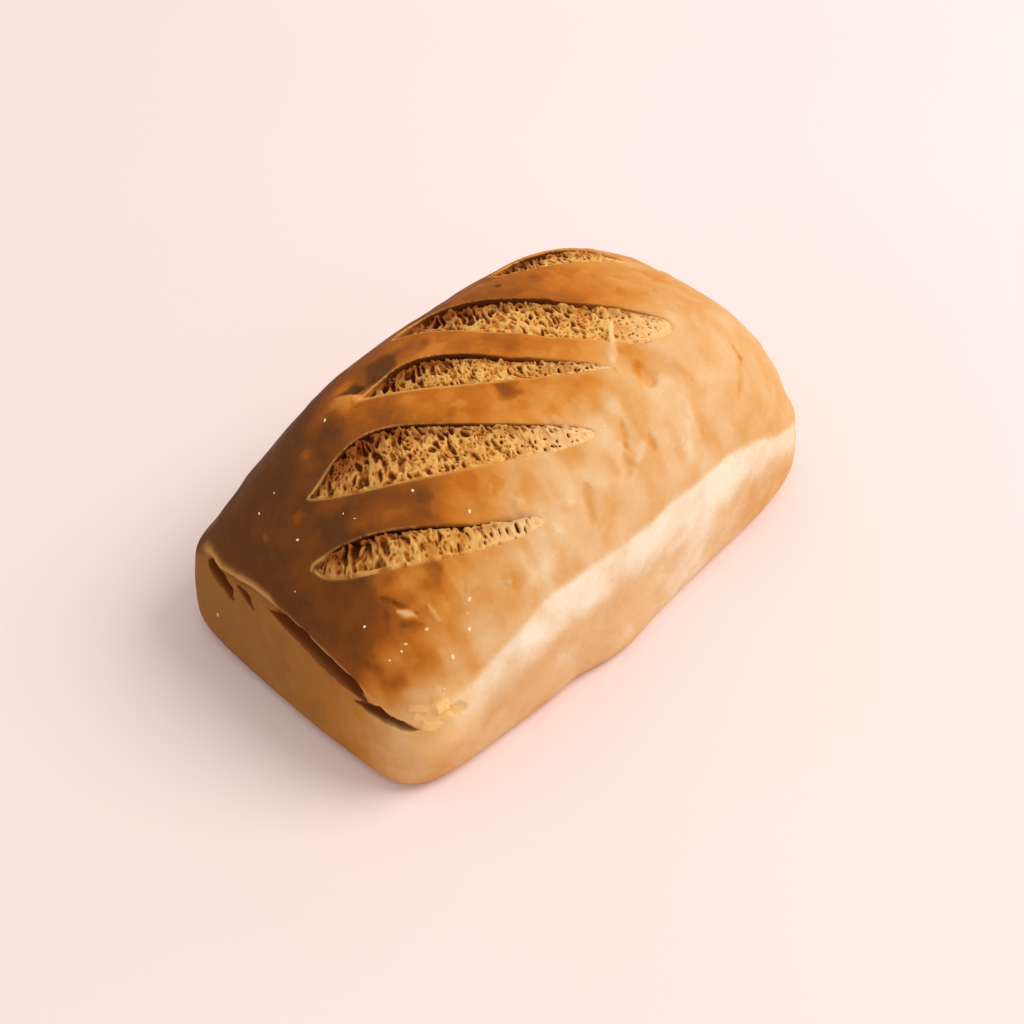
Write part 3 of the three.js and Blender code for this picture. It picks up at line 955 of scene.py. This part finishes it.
def crust_material(colours):
    """Baked crust: browning from the mesh, broken up by blotches, with scorched edges and painted
    shade under the lips, under the crumb and in the tears.
    """
    material, graph, shader = new_material("baked_crust")
    mottle = graph.mottle(blotch_scale=70.0, grain_scale=520.0)
    blotch = graph.math("MULTIPLY_ADD", mottle["Blotch"], 0.16, -0.08)
    speck = graph.math("MULTIPLY_ADD", mottle["Grain"], 0.08, -0.04)
    centred = graph.math("SUBTRACT", mottle["Patch"], 0.5)
    strong = graph.span(graph.mask("browning"), 0.1, 0.5, 0.04, 0.13)
    calm = graph.span(graph.mask("browning"), 0.6, 0.9, 1.0, 0.5)
    patch = graph.math("MULTIPLY", centred, graph.math("MULTIPLY", strong, calm))
    mottled = graph.math("ADD", graph.math("ADD", blotch, speck), patch)
    browning = graph.math("ADD", graph.mask("browning"), mottled)
    baked = graph.ramp(browning, colours, BAKE_STAGES)
    dulled = graph.math("MULTIPLY", graph.mask("tinned"), TIN_DULLING)
    surface = graph.blend(dulled, baked, solid(colours.tin_side))
    for mask, colour in CRUST_COATS:
        surface = graph.blend(graph.mask(mask), surface, solid(getattr(colours, colour)))
    height = graph.math("MULTIPLY_ADD", mottle["Grain"], 0.5, mottle["Blotch"])
    graph.feed(shader, {
        "Base Color": surface,
        "Roughness": graph.span(mottle["Blotch"], 0.3, 0.7, 0.38, 0.55),
        "Specular IOR Level": 0.01,
        "Specular Tint": (1.0, 0.82, 0.62, 1.0),
        "Normal": graph.bump(height, strength=0.35, distance=0.8 * MM),
    })
    return material


def fleck_material(colours):
    """Flecks that paint the glints of small blisters: nearly white, the small crumbs among them
    more golden.
    """
    material, graph, shader = new_material("glint_fleck")
    surface = graph.ramp(graph.mask("golden"), colours, FLECK_STAGES)
    graph.feed(shader, {"Base Color": surface, "Roughness": 0.55})
    return material


def crumb_material(colours):
    """Open crumb: pale strands, painted shade in the pits, toasted crumb and painted shade under
    the lip and at the left tip.
    """
    material, graph, shader = new_material("open_crumb")
    mottle = graph.mottle(blotch_scale=190.0, grain_scale=1500.0)
    tone = graph.span(mottle["Blotch"], 0.3, 0.7, -0.2, 0.2)
    depth = graph.math("ADD", graph.mask("pit_shade"), tone)
    torn = graph.ramp(depth, colours, CRUMB_STAGES)
    open_end = graph.span(graph.mask("share"), 0.62, 0.98, 0.0, 0.8)
    lit = graph.math("MULTIPLY", open_end, graph.span(depth, 0.75, 0.45))
    paled = graph.blend(lit, torn, solid(colours.crumb_pale))
    toasted_and_shaded = graph.blend(graph.mask("toast_and_shade"), paled, solid(colours.crumb_toast_and_shade), "MULTIPLY")
    graph.feed(shader, {
        "Base Color": toasted_and_shaded,
        "Roughness": 0.82,
        "Specular IOR Level": 0.05,
        "Normal": graph.bump(mottle["Grain"], strength=0.5, distance=0.4 * MM),
    })
    return material


def floor_material(colours):
    """Pale floor with a breath of warm cloud."""
    material, graph, shader = new_material("pale_floor")
    place = graph.add("ShaderNodeTexCoord").outputs["Object"]
    cloud = graph.noise(place, 3.0, 2.0, 0.5)
    pale = solid(colours.floor)
    warm = tuple(FLOOR_WARMTH * pale)
    graph.feed(shader, {"Base Color": graph.blend(cloud, pale, warm), "Roughness": 0.8})
    return material


def top_browning(fields):
    """Browning of the domed top: strongest towards the near end and the left side."""
    rise = smooth_step(fields["y"] - zone_sum(fields, TURN_LINE), *TURN_SPAN)
    right = zone_sum(fields, TOP_RIGHT_ZONES)
    return right + (zone_sum(fields, TOP_ZONES) - right) * rise


def wall_browning(fields):
    """Browning of the walls that stood in the tin, the height at which the top begins, and
    the share of the near end and the left side."""
    x, y, z = fields["x"], fields["y"], fields["z"]
    band = zone_sum(fields, BAND_LINE)
    paler, spot, width = WALL_SPOT
    under_band = zone_sum(fields, UNDER_BAND_ZONES) - paler * hump(x, spot, width)
    right = smooth_step(band - z, *BAND_SPAN) * under_band + zone_sum(fields, RIGHT_WALL_ZONES)
    near = zone_sum(fields, NEAR_WALL_ZONES)
    left = zone_sum(fields, LEFT_WALL_ZONES)
    far = zone_sum(fields, FAR_WALL_ZONES)
    from_side = HALF_WIDTH - np.abs(y)
    to_side = smooth_step(HALF_LENGTH + x - from_side, *CORNER_SPAN)
    to_right = to_side * smooth_step(y, *RIGHT_SPAN)
    to_left = to_side - to_right
    to_far = smooth_step(from_side - (HALF_LENGTH - x), *CORNER_SPAN)
    wall = near + (right - near) * to_right + (left - near) * to_left
    wall = wall + (far - wall) * to_far
    seam = np.interp(y, SEAM[:, 0], SEAM[:, 1])
    start = seam + (band - seam) * to_right + (zone_sum(fields, LEFT_RIM) - seam) * to_left
    start = start + (FAR_RIM - start) * to_far
    dull = (1.0 - to_right) * (1.0 - to_far) * smooth_step(y, *DULL_SPAN)
    return wall, start, dull


def browning_of(points, seed):
    """How strongly the crust is baked, from 0 pale to 1 dark, and where it stood against tin."""
    stray = grains(points, BORDER_STRAY, seed)
    fields = dict(zip("xyz", (points + stray[:, None] * STRAY_BY_AXIS).T))
    wall, start, dull = wall_browning(fields)
    below = smooth_step(start - fields["z"], *RIM_SPAN)
    shade = top_browning(fields)
    for plan in PLANS:
        tip = plan.start + plan.along * plan.length
        apart = np.linalg.norm(points[:, :2] - tip, axis=1) + TIP_STRAY * stray
        shade = shade - TIP_PALER * smooth_step(apart, *TIP_SPAN) * (points[:, 2] > TOP_LEVEL)
    shade = shade + (wall - shade) * below + stroke_field(points)[0]
    shade = shade + grains(points, BROWNING_MOTTLE, seed)
    streak = grain(points * STREAK_STRETCH, STREAK_SIZE, seed + STREAK_DRAW)
    streak = STREAK_DARK * smooth_step(streak, *STREAK_SPAN) - STREAK_LESS
    shade = shade + streak * faded(fields, STREAK_STEPS) * (1.0 - below)
    return np.clip(shade, 0.0, 1.0), below * dull


def sample_net(net, rows, columns):
    """Values between the points of an even net, each axis given as places and its marks."""
    wholes, parts = [], []
    for places, marks in (rows, columns):
        spot = np.clip((places - marks[0]) / (marks[1] - marks[0]), 0.0, len(marks) - 1.001)
        wholes.append(spot.astype(int))
        parts.append(spot - wholes[-1])
    (row, column), (a, b) = wholes, parts
    return (
        net[row, column] * (1 - a) * (1 - b) + net[row, column + 1] * (1 - a) * b
        + net[row + 1, column] * a * (1 - b) + net[row + 1, column + 1] * a * b
    )


def crust_tree(context):
    """Search tree over the finished crust."""
    crust = bpy.data.objects["loaf_crust"]
    return BVHTree.FromObject(crust, context.evaluated_depsgraph_get())


def upright(normal, turn):
    """Turn that stands an object on a surface, spun about its normal."""
    stand = normal.to_track_quat("Z", "Y").to_matrix()
    return stand @ Matrix.Rotation(turn, 3, "Z")


def join_copies(name, shapes, faces):
    """One mesh object of many closed copies, each given by its points."""
    count = len(shapes[0])
    points = np.concatenate(shapes)
    corners = [
        tuple(corner + count * copy for corner in face)
        for copy in range(len(shapes)) for face in faces
    ]
    mesh = bpy.data.meshes.new(name)
    mesh.from_pydata(points.tolist(), [], corners)
    mesh.update()
    piece = bpy.data.objects.new(name, mesh)
    bpy.context.scene.collection.objects.link(piece)
    return piece


class LOAF_OT_crust(bpy.types.Operator):
    """Bakes the crust from the solid: evens its mesh, eases it, and raises swells and blisters"""

    bl_idname = "object.loaf_crust"
    bl_label = "Bake Crust"

    def execute(self, context):
        sizes = context.scene.loaf_sizes
        crust = self.even_copy("loaf", "loaf_crust", sizes.crust_step)
        self.ease(crust)
        self.refine(crust)
        self.raise_relief(crust, sizes)
        self.thin_out(crust, sizes.crust_faces)
        self.mark(crust, sizes.seed)
        dress(crust, crust_material(context.scene.loaf_colours))
        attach(crust, "root")
        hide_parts("loaf")
        return {"FINISHED"}

    @staticmethod
    def even_copy(node, name, step):
        """Merged copy of a solid with an even mesh."""
        piece = bpy.data.objects.new(name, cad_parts[node].data.copy())
        bpy.context.scene.collection.objects.link(piece)
        piece.data.name = name
        with editing(piece):
            bpy.ops.mesh.select_all(action="SELECT")
            bpy.ops.mesh.remove_doubles(threshold=MERGE_DISTANCE)
        apply_modifier(piece, "REMESH", mode="VOXEL", voxel_size=step, use_smooth_shade=True)
        return piece

    @staticmethod
    def ease(piece):
        """Takes the facets out of the crust and keeps the edges of scores and tears."""
        points = read_vertices(piece.data, "co") / MM
        reach, least = EASE_SCORE
        weights = np.clip(np.abs(score_field(points)[0]) / reach, least, 1.0)
        reach, least = EASE_TEAR
        apart, side = tear_field(points)
        kept = np.clip(np.abs(apart) / reach, least, 1.0)
        weights = np.minimum(weights, np.where(side > TEAR_UNDERSIDE, kept, 1.0))
        weigh(piece, "ease", weights)
        apply_modifier(piece, "SMOOTH", factor=0.5, iterations=45, vertex_group="ease")

    @staticmethod
    def refine(piece):
        """Splits the faces round the flakes, for finer relief there."""
        middle, reach = FLAKE_SITE
        points = read_vertices(piece.data, "co") / MM
        with editing(piece):
            bpy.ops.mesh.select_mode(type="VERT")
            bpy.ops.mesh.select_all(action="DESELECT")
        close = np.linalg.norm(points - middle, axis=1) < reach
        piece.data.vertices.foreach_set("select", close)
        with editing(piece):
            bpy.ops.mesh.subdivide(number_cuts=1)

    @staticmethod
    def raise_relief(piece, sizes):
        """Swells, blisters, the lapped edge of the seam, marks and flakes of the crust."""
        points = read_vertices(piece.data, "co") / MM
        normals = read_vertices(piece.data, "normal")
        fields = crust_fields(points, normals)
        height = sizes.crust_swell / MM * grains(points, CRUST_SWELLS, sizes.seed)
        u, v = (
            (points[:, axis] + grains(points, layers, sizes.seed)) / BLISTER_SPACING
            for axis, layers in enumerate(BLISTER_STRAY)
        )
        nearest, _, draw = cells(u, v, sizes.seed + BLISTER_DRAW)
        wide = BLISTER_RADIUS + BLISTER_MORE * draw
        round_top = np.clip(1.0 - (nearest / wide) ** 2, 0.0, 1.0)
        blister = np.where(draw > BLISTER_NONE, round_top, 0.0)
        height += sizes.blister_height / MM * blister * faded(fields, DOME_STEPS)
        above, lapped = fields["above"], fields["lapped"]
        lap = sum(rise * hump(above, place, width) for rise, place, width in LAP_FORM)
        height += lap * lapped
        height += stroke_field(points)[1]
        height = faded(fields, CRUST_STEPS) * height
        height += flake_field(points, normals)[0] - floor_sink(fields["depth"])
        points = points + normals * height[:, None]
        sideways = points * (0.0, 1.0, 0.0)
        ripple = grains(sideways, LAP_RIPPLE, sizes.seed)
        points[:, 2] += ripple * hump(above, 0.0, RIPPLE_WIDTH) * lapped
        write_points(piece.data, points)

    @staticmethod
    def thin_out(piece, faces):
        """Takes triangles out of the plain crust and keeps those along scores and tears."""
        points = read_vertices(piece.data, "co") / MM
        plain = np.minimum(
            smooth_step(np.abs(score_field(points)[0]), *THIN_SPAN),
            smooth_step(np.abs(tear_field(points)[0]), *THIN_SPAN),
        )
        middle, reach = FLAKE_SITE
        apart = np.linalg.norm(points - middle, axis=1)
        plain = np.minimum(plain, smooth_step(apart, reach - THIN_SOFT, reach + THIN_SOFT))
        weigh(piece, "plain", THIN_LEAST + (1.0 - THIN_LEAST) * plain)
        piece.data.calc_loop_triangles()
        share = faces / len(piece.data.loop_triangles)
        apply_modifier(
            piece, "DECIMATE", ratio=min(1.0, share), vertex_group="plain",
            vertex_group_factor=1.0, use_collapse_triangulate=True,
        )

    @staticmethod
    def mark(piece, seed):
        """Masks that the crust material reads."""
        points = read_vertices(piece.data, "co") / MM
        normals = read_vertices(piece.data, "normal")
        fields = crust_fields(points, normals)
        fields["frayed"] = fields["tear"] + grains(points, TEAR_FRAY, seed)
        # Painted shade: far walls under the lips (with scorched crust), crust under the crumb,
        # and inside the tears, darkest under the upper lip
        wall = zone_sum(fields, WALL_SCORCH_AND_SHADE) * faded(fields, WALL_STEPS)
        tear = zone_sum(fields, TEAR_SHADE) * faded(fields, TEAR_STEPS)
        # Painted highlight along the lip of the seam and the edges of the scores, over paler
        # crust
        broad = zone_sum(fields, LIP_WIDTH)
        rim = LIP_STRENGTH * hump(fields["above"], LIP_PLACE * broad, broad) * fields["lapped"]
        for line, width, zones, steps in RIMS:
            edge = hump(fields["depth"], line, width) * faded(fields, steps)
            rim = np.maximum(rim, edge * zone_sum(fields, zones))
        browning, tinned = browning_of(points, seed + BROWNING_DRAW)
        masks = {
            "browning": browning,
            "tinned": tinned,
            "scorch_and_shade": np.maximum(np.maximum(wall, faded(fields, FLOOR_SHADE_STEPS)), tear),
            "rim": rim * (1.0 - tear),
            "flake": flake_field(points, normals)[1] * (1.0 - FLAKE_TEAR_SHADED * tear),
        }
        for name, values in masks.items():
            write_mask(piece.data, name, np.clip(values, 0.0, 1.0))


class LOAF_OT_crumb(bpy.types.Operator):
    """Fills the scores with torn crumb: strands and open cells over the floor of each score"""

    bl_idname = "object.loaf_crumb"
    bl_label = "Tear Crumb"

    def execute(self, context):
        sizes = context.scene.loaf_sizes
        tree = crust_tree(context)
        fills = [
            self.fill_score(plan, number, tree, sizes) for number, plan in enumerate(PLANS)
        ]
        pick_only(*fills)
        bpy.ops.object.join()
        crumb = context.view_layer.objects.active
        crumb.name = crumb.data.name = "score_crumb"
        dress(crumb, crumb_material(context.scene.loaf_colours))
        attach(crumb, "root")
        return {"FINISHED"}

    def fill_score(self, plan, number, tree, sizes):
        """One score's crumb as a closed slab with a rough top."""
        step = sizes.crumb_step / MM
        near, far = plan.edges(WIDTH_SHARES)
        columns = int(plan.length / step)
        rows = int((far - near).max() / step)
        bpy.ops.object.select_all(action="DESELECT")
        bpy.ops.mesh.primitive_grid_add(x_subdivisions=columns, y_subdivisions=rows, size=2.0)
        piece = bpy.context.view_layer.objects.active
        flat = read_vertices(piece.data, "co")
        order = np.lexsort((flat[:, 0], flat[:, 1]))
        net = flat[order].reshape(rows + 1, columns + 1, 3)
        place, lane = (0.5 + net[:, :, axis] * half for axis, half in enumerate(SHEET_HALF))
        near, far = plan.edges(place)
        across = near + (far - near) * lane
        base = self.base_of(plan, place, lane, across, tree)
        relief, masks = self.crumb_relief(plan, place, lane, across, number, sizes)
        normals = np.cross(np.gradient(base, axis=1), np.gradient(base, axis=0))
        normals = normals / np.linalg.norm(normals, axis=2)[:, :, None]
        raised = base + normals * relief[:, :, None]
        points = np.empty_like(flat)
        points[order] = raised.reshape(-1, 3)
        write_points(piece.data, points)
        for name, field in masks.items():
            values = np.empty(len(flat))
            values[order] = field.ravel()
            write_mask(piece.data, name, values)
        self.close_below(piece)
        return piece

    @staticmethod
    def feel_crust(plan, offset, tree):
        """Heights of the crust along a line beside the chord of a score."""
        spots = plan.start + np.outer(FEEL_SHARES * plan.length, plan.along)
        spots = spots + np.outer(offset, plan.away)
        starts = np.column_stack((spots, np.full(len(spots), FEEL_FROM))) * MM
        down = Vector((0.0, 0.0, -1.0))
        hits = [tree.ray_cast(Vector(start), down)[0].z for start in starts]
        return soften(np.array(hits)[:, None] / MM, FEEL_PASSES)[:, 0]

    def base_of(self, plan, place, lane, across, tree):
        """Even surface over the floor of a score, rising to just under its far lip."""
        near, far = plan.edges(FEEL_SHARES)
        wide = far - near
        floors = [self.feel_crust(plan, near + wide * part, tree) for part in FEEL_LANES]
        lip = self.feel_crust(plan, far + LIP_BEYOND, tree)
        lip = lip - plan.drop * arch(FEEL_SHARES) * (DROP_AT_LEFT - FEEL_SHARES)
        sunk = floor_sink((1.0 - FEEL_LANES[-1]) * wide)
        gap = np.maximum(lip - floors[-1] - sunk, LEAST_GAP)
        risen = faded({"place": FEEL_SHARES}, FILL_STEPS)
        rows = []
        for part, floor in zip(FEEL_LANES, floors):
            fill = NEAR_FILL + (gap - NEAR_FILL) * smooth_step(part, *FILL_SPAN)
            sunk = floor_sink(np.minimum(part, 1.0 - part) * wide)
            rows.append(floor + sunk + risen * fill - TIP_SINK * (1.0 - risen))
        height = sample_net(np.array(rows), (lane, FEEL_LANES), (place, FEEL_SHARES))
        near, far = plan.edges(place)
        height = height - NEAR_FALL * np.maximum(near - across, 0.0)
        height = height - FAR_FALL * np.maximum(across - far, 0.0)
        flat = plan.start + (place * plan.length)[:, :, None] * plan.along
        flat = flat + across[:, :, None] * plan.away
        return np.dstack((flat, height))

    @staticmethod
    def cell_depth(fields, lean, reach, seed):
        """How deep the crumb is open, from 0 on the strands to 1 in the cells."""
        strands = 1.0
        for width, length, wall, shut, draw, zones in PORES:
            nearest, following, chance = cells(lean / width, reach / length, seed + draw)
            hollow = smooth_step(following - nearest, wall, wall + PORE_SOFT)
            hollow = hollow * smooth_step(chance, shut, shut + SHUT_SOFT)
            strands = strands * (1.0 - hollow * zone_sum(fields, zones))
        torn = (1.0 - strands) * zone_sum(fields, PORE_LANES) * zone_sum(fields, PORE_PARTS)
        nearest, _, chance = cells(lean / HOLE_SPACING, reach / HOLE_SPACING, seed + HOLE_DRAW)
        wide = HOLE_RADIUS + HOLE_MORE * chance
        hole = np.where(chance < HOLE_SHARE, smooth_step(nearest, wide, wide * HOLE_CORE), 0.0)
        dotted = hole * zone_sum(fields, HOLE_PARTS) * faded(fields, HOLE_STEPS)
        return np.clip(torn + dotted, 0.0, 1.0)

    def crumb_relief(self, plan, place, lane, across, number, sizes):
        """Height above the base, with masks for the painted shade of the pits, for the toast and
        painted shade under the lip, and for the pale part.
        """
        seed = sizes.seed + SCORE_DRAWS * (number + 1)
        along = place * plan.length
        flat = np.column_stack((along.ravel(), across.ravel(), np.zeros(along.size)))

        def swell(layers):
            return grains(flat, layers, seed).reshape(along.shape)

        edge = across - plan.edges(place)[0]
        border = lane + swell(TOAST_STRAY)
        fields = {"place": place, "lane": lane, "edge": edge, "border": border}
        bend = swell(STRAND_BEND)
        lean = along + zone_sum(fields, STRAND_LEAN) * across + bend
        depth = self.cell_depth(fields, lean, across + swell(STRAND_TWIST), seed)
        sunk = sizes.pit_depth / MM * depth * (1.0 + swell(PIT_UNEVEN))
        rough = swell(CRUMB_ROUGH) * zone_sum(fields, ROUGH_PARTS)
        relief = faded(fields, OPEN_STEPS) * (rough - sunk)
        relief = relief + swell(CRUMB_RAGGED) * hump(edge, *RAGGED_EDGE)
        tufts = np.maximum(swell(CRUMB_TUFTS), 0.0) * faded(fields, TUFT_STEPS)
        relief = relief + tufts * hump(lane, *TUFT_LANE)
        share = place if number < PALE_SCORES else PALE_LESS * place
        if plan.strand:
            bridge = hump(along + STRAND_SWAY * bend, plan.strand, STRAND_WIDTH)
            bridge = bridge * faded(fields, STRAND_STEPS)
            relief = relief * (1.0 - bridge) + STRAND_HEIGHT * bridge
            depth = depth * (1.0 - bridge)
            share = np.maximum(share, bridge)
        # Painted shade: darker in the hollows and the open cells of the crumb
        cavity = soften(relief, CAVITY_PASSES) - relief
        pit_shade = PIT_LEVEL + PIT_HOLLOW * cavity + PIT_CELL * depth
        # Toasted crumb and painted shade under the far lip and at the left tip
        toast_and_shade = np.clip(zone_sum(fields, TOAST_AND_SHADE_ZONES), 0.0, TOAST_AND_SHADE_MOST)
        return relief, {"pit_shade": np.clip(pit_shade, 0.0, 1.0), "toast_and_shade": toast_and_shade, "share": share}

    @staticmethod
    def close_below(piece):
        """Draws the border of the sheet down and closes it, so that the crumb is a solid slab."""
        with editing(piece):
            bpy.ops.mesh.select_mode(type="EDGE")
            bpy.ops.mesh.select_all(action="DESELECT")
            bpy.ops.mesh.select_non_manifold(
                extend=False, use_wire=False, use_boundary=True, use_multi_face=False,
                use_non_contiguous=False, use_verts=False,
            )
            bpy.ops.mesh.extrude_region_move(
                TRANSFORM_OT_translate={"value": (0.0, 0.0, -SLAB_DEPTH * MM)}
            )
            bpy.ops.mesh.edge_face_add()
            bpy.ops.mesh.select_all(action="SELECT")
            bpy.ops.mesh.normals_make_consistent(inside=False)


class LOAF_OT_flecks(bpy.types.Operator):
    """Strews pale flecks over the crust, painted glints of small blisters"""

    bl_idname = "object.loaf_flecks"
    bl_label = "Strew Flecks"

    def execute(self, context):
        tree = crust_tree(context)
        ball, faces = self.unit_ball(context)
        draws = np.random.default_rng(context.scene.loaf_sizes.seed)
        shapes = []
        for *place, size, _ in FLECKS:
            foot, normal, _, _ = tree.find_nearest(Vector(place) * MM)
            length = draws.uniform(*FLECK_LENGTH)
            stretch = size * MM * np.array((length, FLECK_WIDTH, FLECK_HEIGHT))
            turn = np.array(upright(normal, draws.uniform(0.0, math.pi)))
            shapes.append(np.array(foot) + (ball * stretch) @ turn.T)
        flecks = join_copies("crust_flecks", shapes, faces)
        tones = np.array([tone for *_, tone in FLECKS])
        write_mask(flecks.data, "golden", np.repeat(tones, len(ball)))
        dress(flecks, fleck_material(context.scene.loaf_colours))
        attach(flecks, "root")
        return {"FINISHED"}

    @staticmethod
    def unit_ball(context):
        """Points and faces of a ball of radius 1."""
        bpy.ops.object.select_all(action="DESELECT")
        bpy.ops.mesh.primitive_ico_sphere_add(subdivisions=2, radius=1.0)
        mesh = context.view_layer.objects.active.data
        ball = read_vertices(mesh, "co")
        faces = [tuple(face.vertices) for face in mesh.polygons]
        bpy.ops.object.delete()
        return ball, faces


class LOAF_OT_stage(bpy.types.Operator):
    """Sets the pale floor, the soft light from the right and the camera"""

    bl_idname = "object.loaf_stage"
    bl_label = "Set Stage"

    def execute(self, context):
        stage = context.scene.loaf_stage
        right = Vector((math.cos(stage.azimuth), math.sin(stage.azimuth), 0.0))
        ahead = Vector((-right.y, right.x, 0.0))
        self.lay_floor(context)
        self.light_sky(context, stage)
        self.hang_lamp(context, stage, right, ahead)
        self.set_camera(context, stage, right, ahead)
        view = context.scene.view_settings
        view.view_transform = "Standard"
        view.look = "None"
        return {"FINISHED"}

    @staticmethod
    def lay_floor(context):
        """Plane under the loaf."""
        bpy.ops.object.select_all(action="DESELECT")
        bpy.ops.mesh.primitive_plane_add(size=FLOOR_SIZE, location=(0.0, 0.0, 0.0))
        floor = context.view_layer.objects.active
        floor.name = "pale_floor"
        floor.data.materials.append(floor_material(context.scene.loaf_colours))

    @staticmethod
    def light_sky(context, stage):
        """Even light all round."""
        world = bpy.data.worlds.new("studio")
        world.use_nodes = True
        sky = world.node_tree.nodes["Background"]
        sky.inputs["Color"].default_value = SKY_TINT
        sky.inputs["Strength"].default_value = stage.sky_strength
        context.scene.world = world

    @staticmethod
    def hang_lamp(context, stage, right, ahead):
        """Large soft lamp, turned to the aim."""
        lamp = bpy.data.lights.new("soft_key", "AREA")
        lamp.shape = "DISK"
        lamp.size = LAMP_SIZE
        lamp.energy = stage.key_power
        lamp.color = LAMP_TINT
        key = bpy.data.objects.new("soft_key", lamp)
        context.scene.collection.objects.link(key)
        offset = right * LAMP_RIGHT + ahead * LAMP_AHEAD + Vector((0.0, 0.0, LAMP_UP))
        key.location = stage.aim + offset
        key.rotation_euler = offset.to_track_quat("Z", "Y").to_euler()

    @staticmethod
    def set_camera(context, stage, right, ahead):
        """Camera at the angle of the view."""
        lens = bpy.data.cameras.new("view")
        lens.lens = stage.lens
        lens.sensor_width = FILM_WIDTH
        lens.sensor_fit = "HORIZONTAL"
        lens.shift_x, lens.shift_y = FRAME_SHIFT
        lens.clip_start, lens.clip_end = CLIP_RANGE
        camera = bpy.data.objects.new("view", lens)
        context.scene.collection.objects.link(camera)
        rise = Vector((0.0, 0.0, math.sin(stage.elevation)))
        back = rise - ahead * math.cos(stage.elevation)
        turn = Matrix((right, back.cross(right), back)).transposed()
        place = Matrix.Translation(stage.aim + back * stage.distance)
        camera.matrix_world = place @ turn.to_4x4()
        context.scene.camera = camera


class LOAF_PT_panel(bpy.types.Panel):
    """Lists the sizes, colours and steps of the loaf"""

    bl_idname = "LOAF_PT_panel"
    bl_label = "White Bread Loaf"
    bl_space_type = "VIEW_3D"
    bl_region_type = "UI"
    bl_category = "Loaf"

    def draw(self, context):
        for name, kind in GROUPS.items():
            column = self.layout.column(align=True)
            for field in kind.__annotations__:
                column.prop(getattr(context.scene, name), field)
        for operator in STEPS:
            self.layout.operator(operator.bl_idname)


STEPS = (LOAF_OT_crust, LOAF_OT_crumb, LOAF_OT_flecks, LOAF_OT_stage)
GROUPS = {"loaf_sizes": LoafSizes, "loaf_colours": LoafColours, "loaf_stage": LoafStage}
CLASSES = (*GROUPS.values(), *STEPS, LOAF_PT_panel)


def register():
    for item in CLASSES:
        bpy.utils.register_class(item)
    for name, group in GROUPS.items():
        setattr(bpy.types.Scene, name, PointerProperty(type=group))


def unregister():
    for name in GROUPS:
        delattr(bpy.types.Scene, name)
    for item in reversed(CLASSES):
        bpy.utils.unregister_class(item)


def main():
    register()
    bpy.ops.object.loaf_crust()
    bpy.ops.object.loaf_crumb()
    bpy.ops.object.loaf_flecks()
    bpy.ops.object.loaf_stage()


if __name__ == "__main__":
    main()
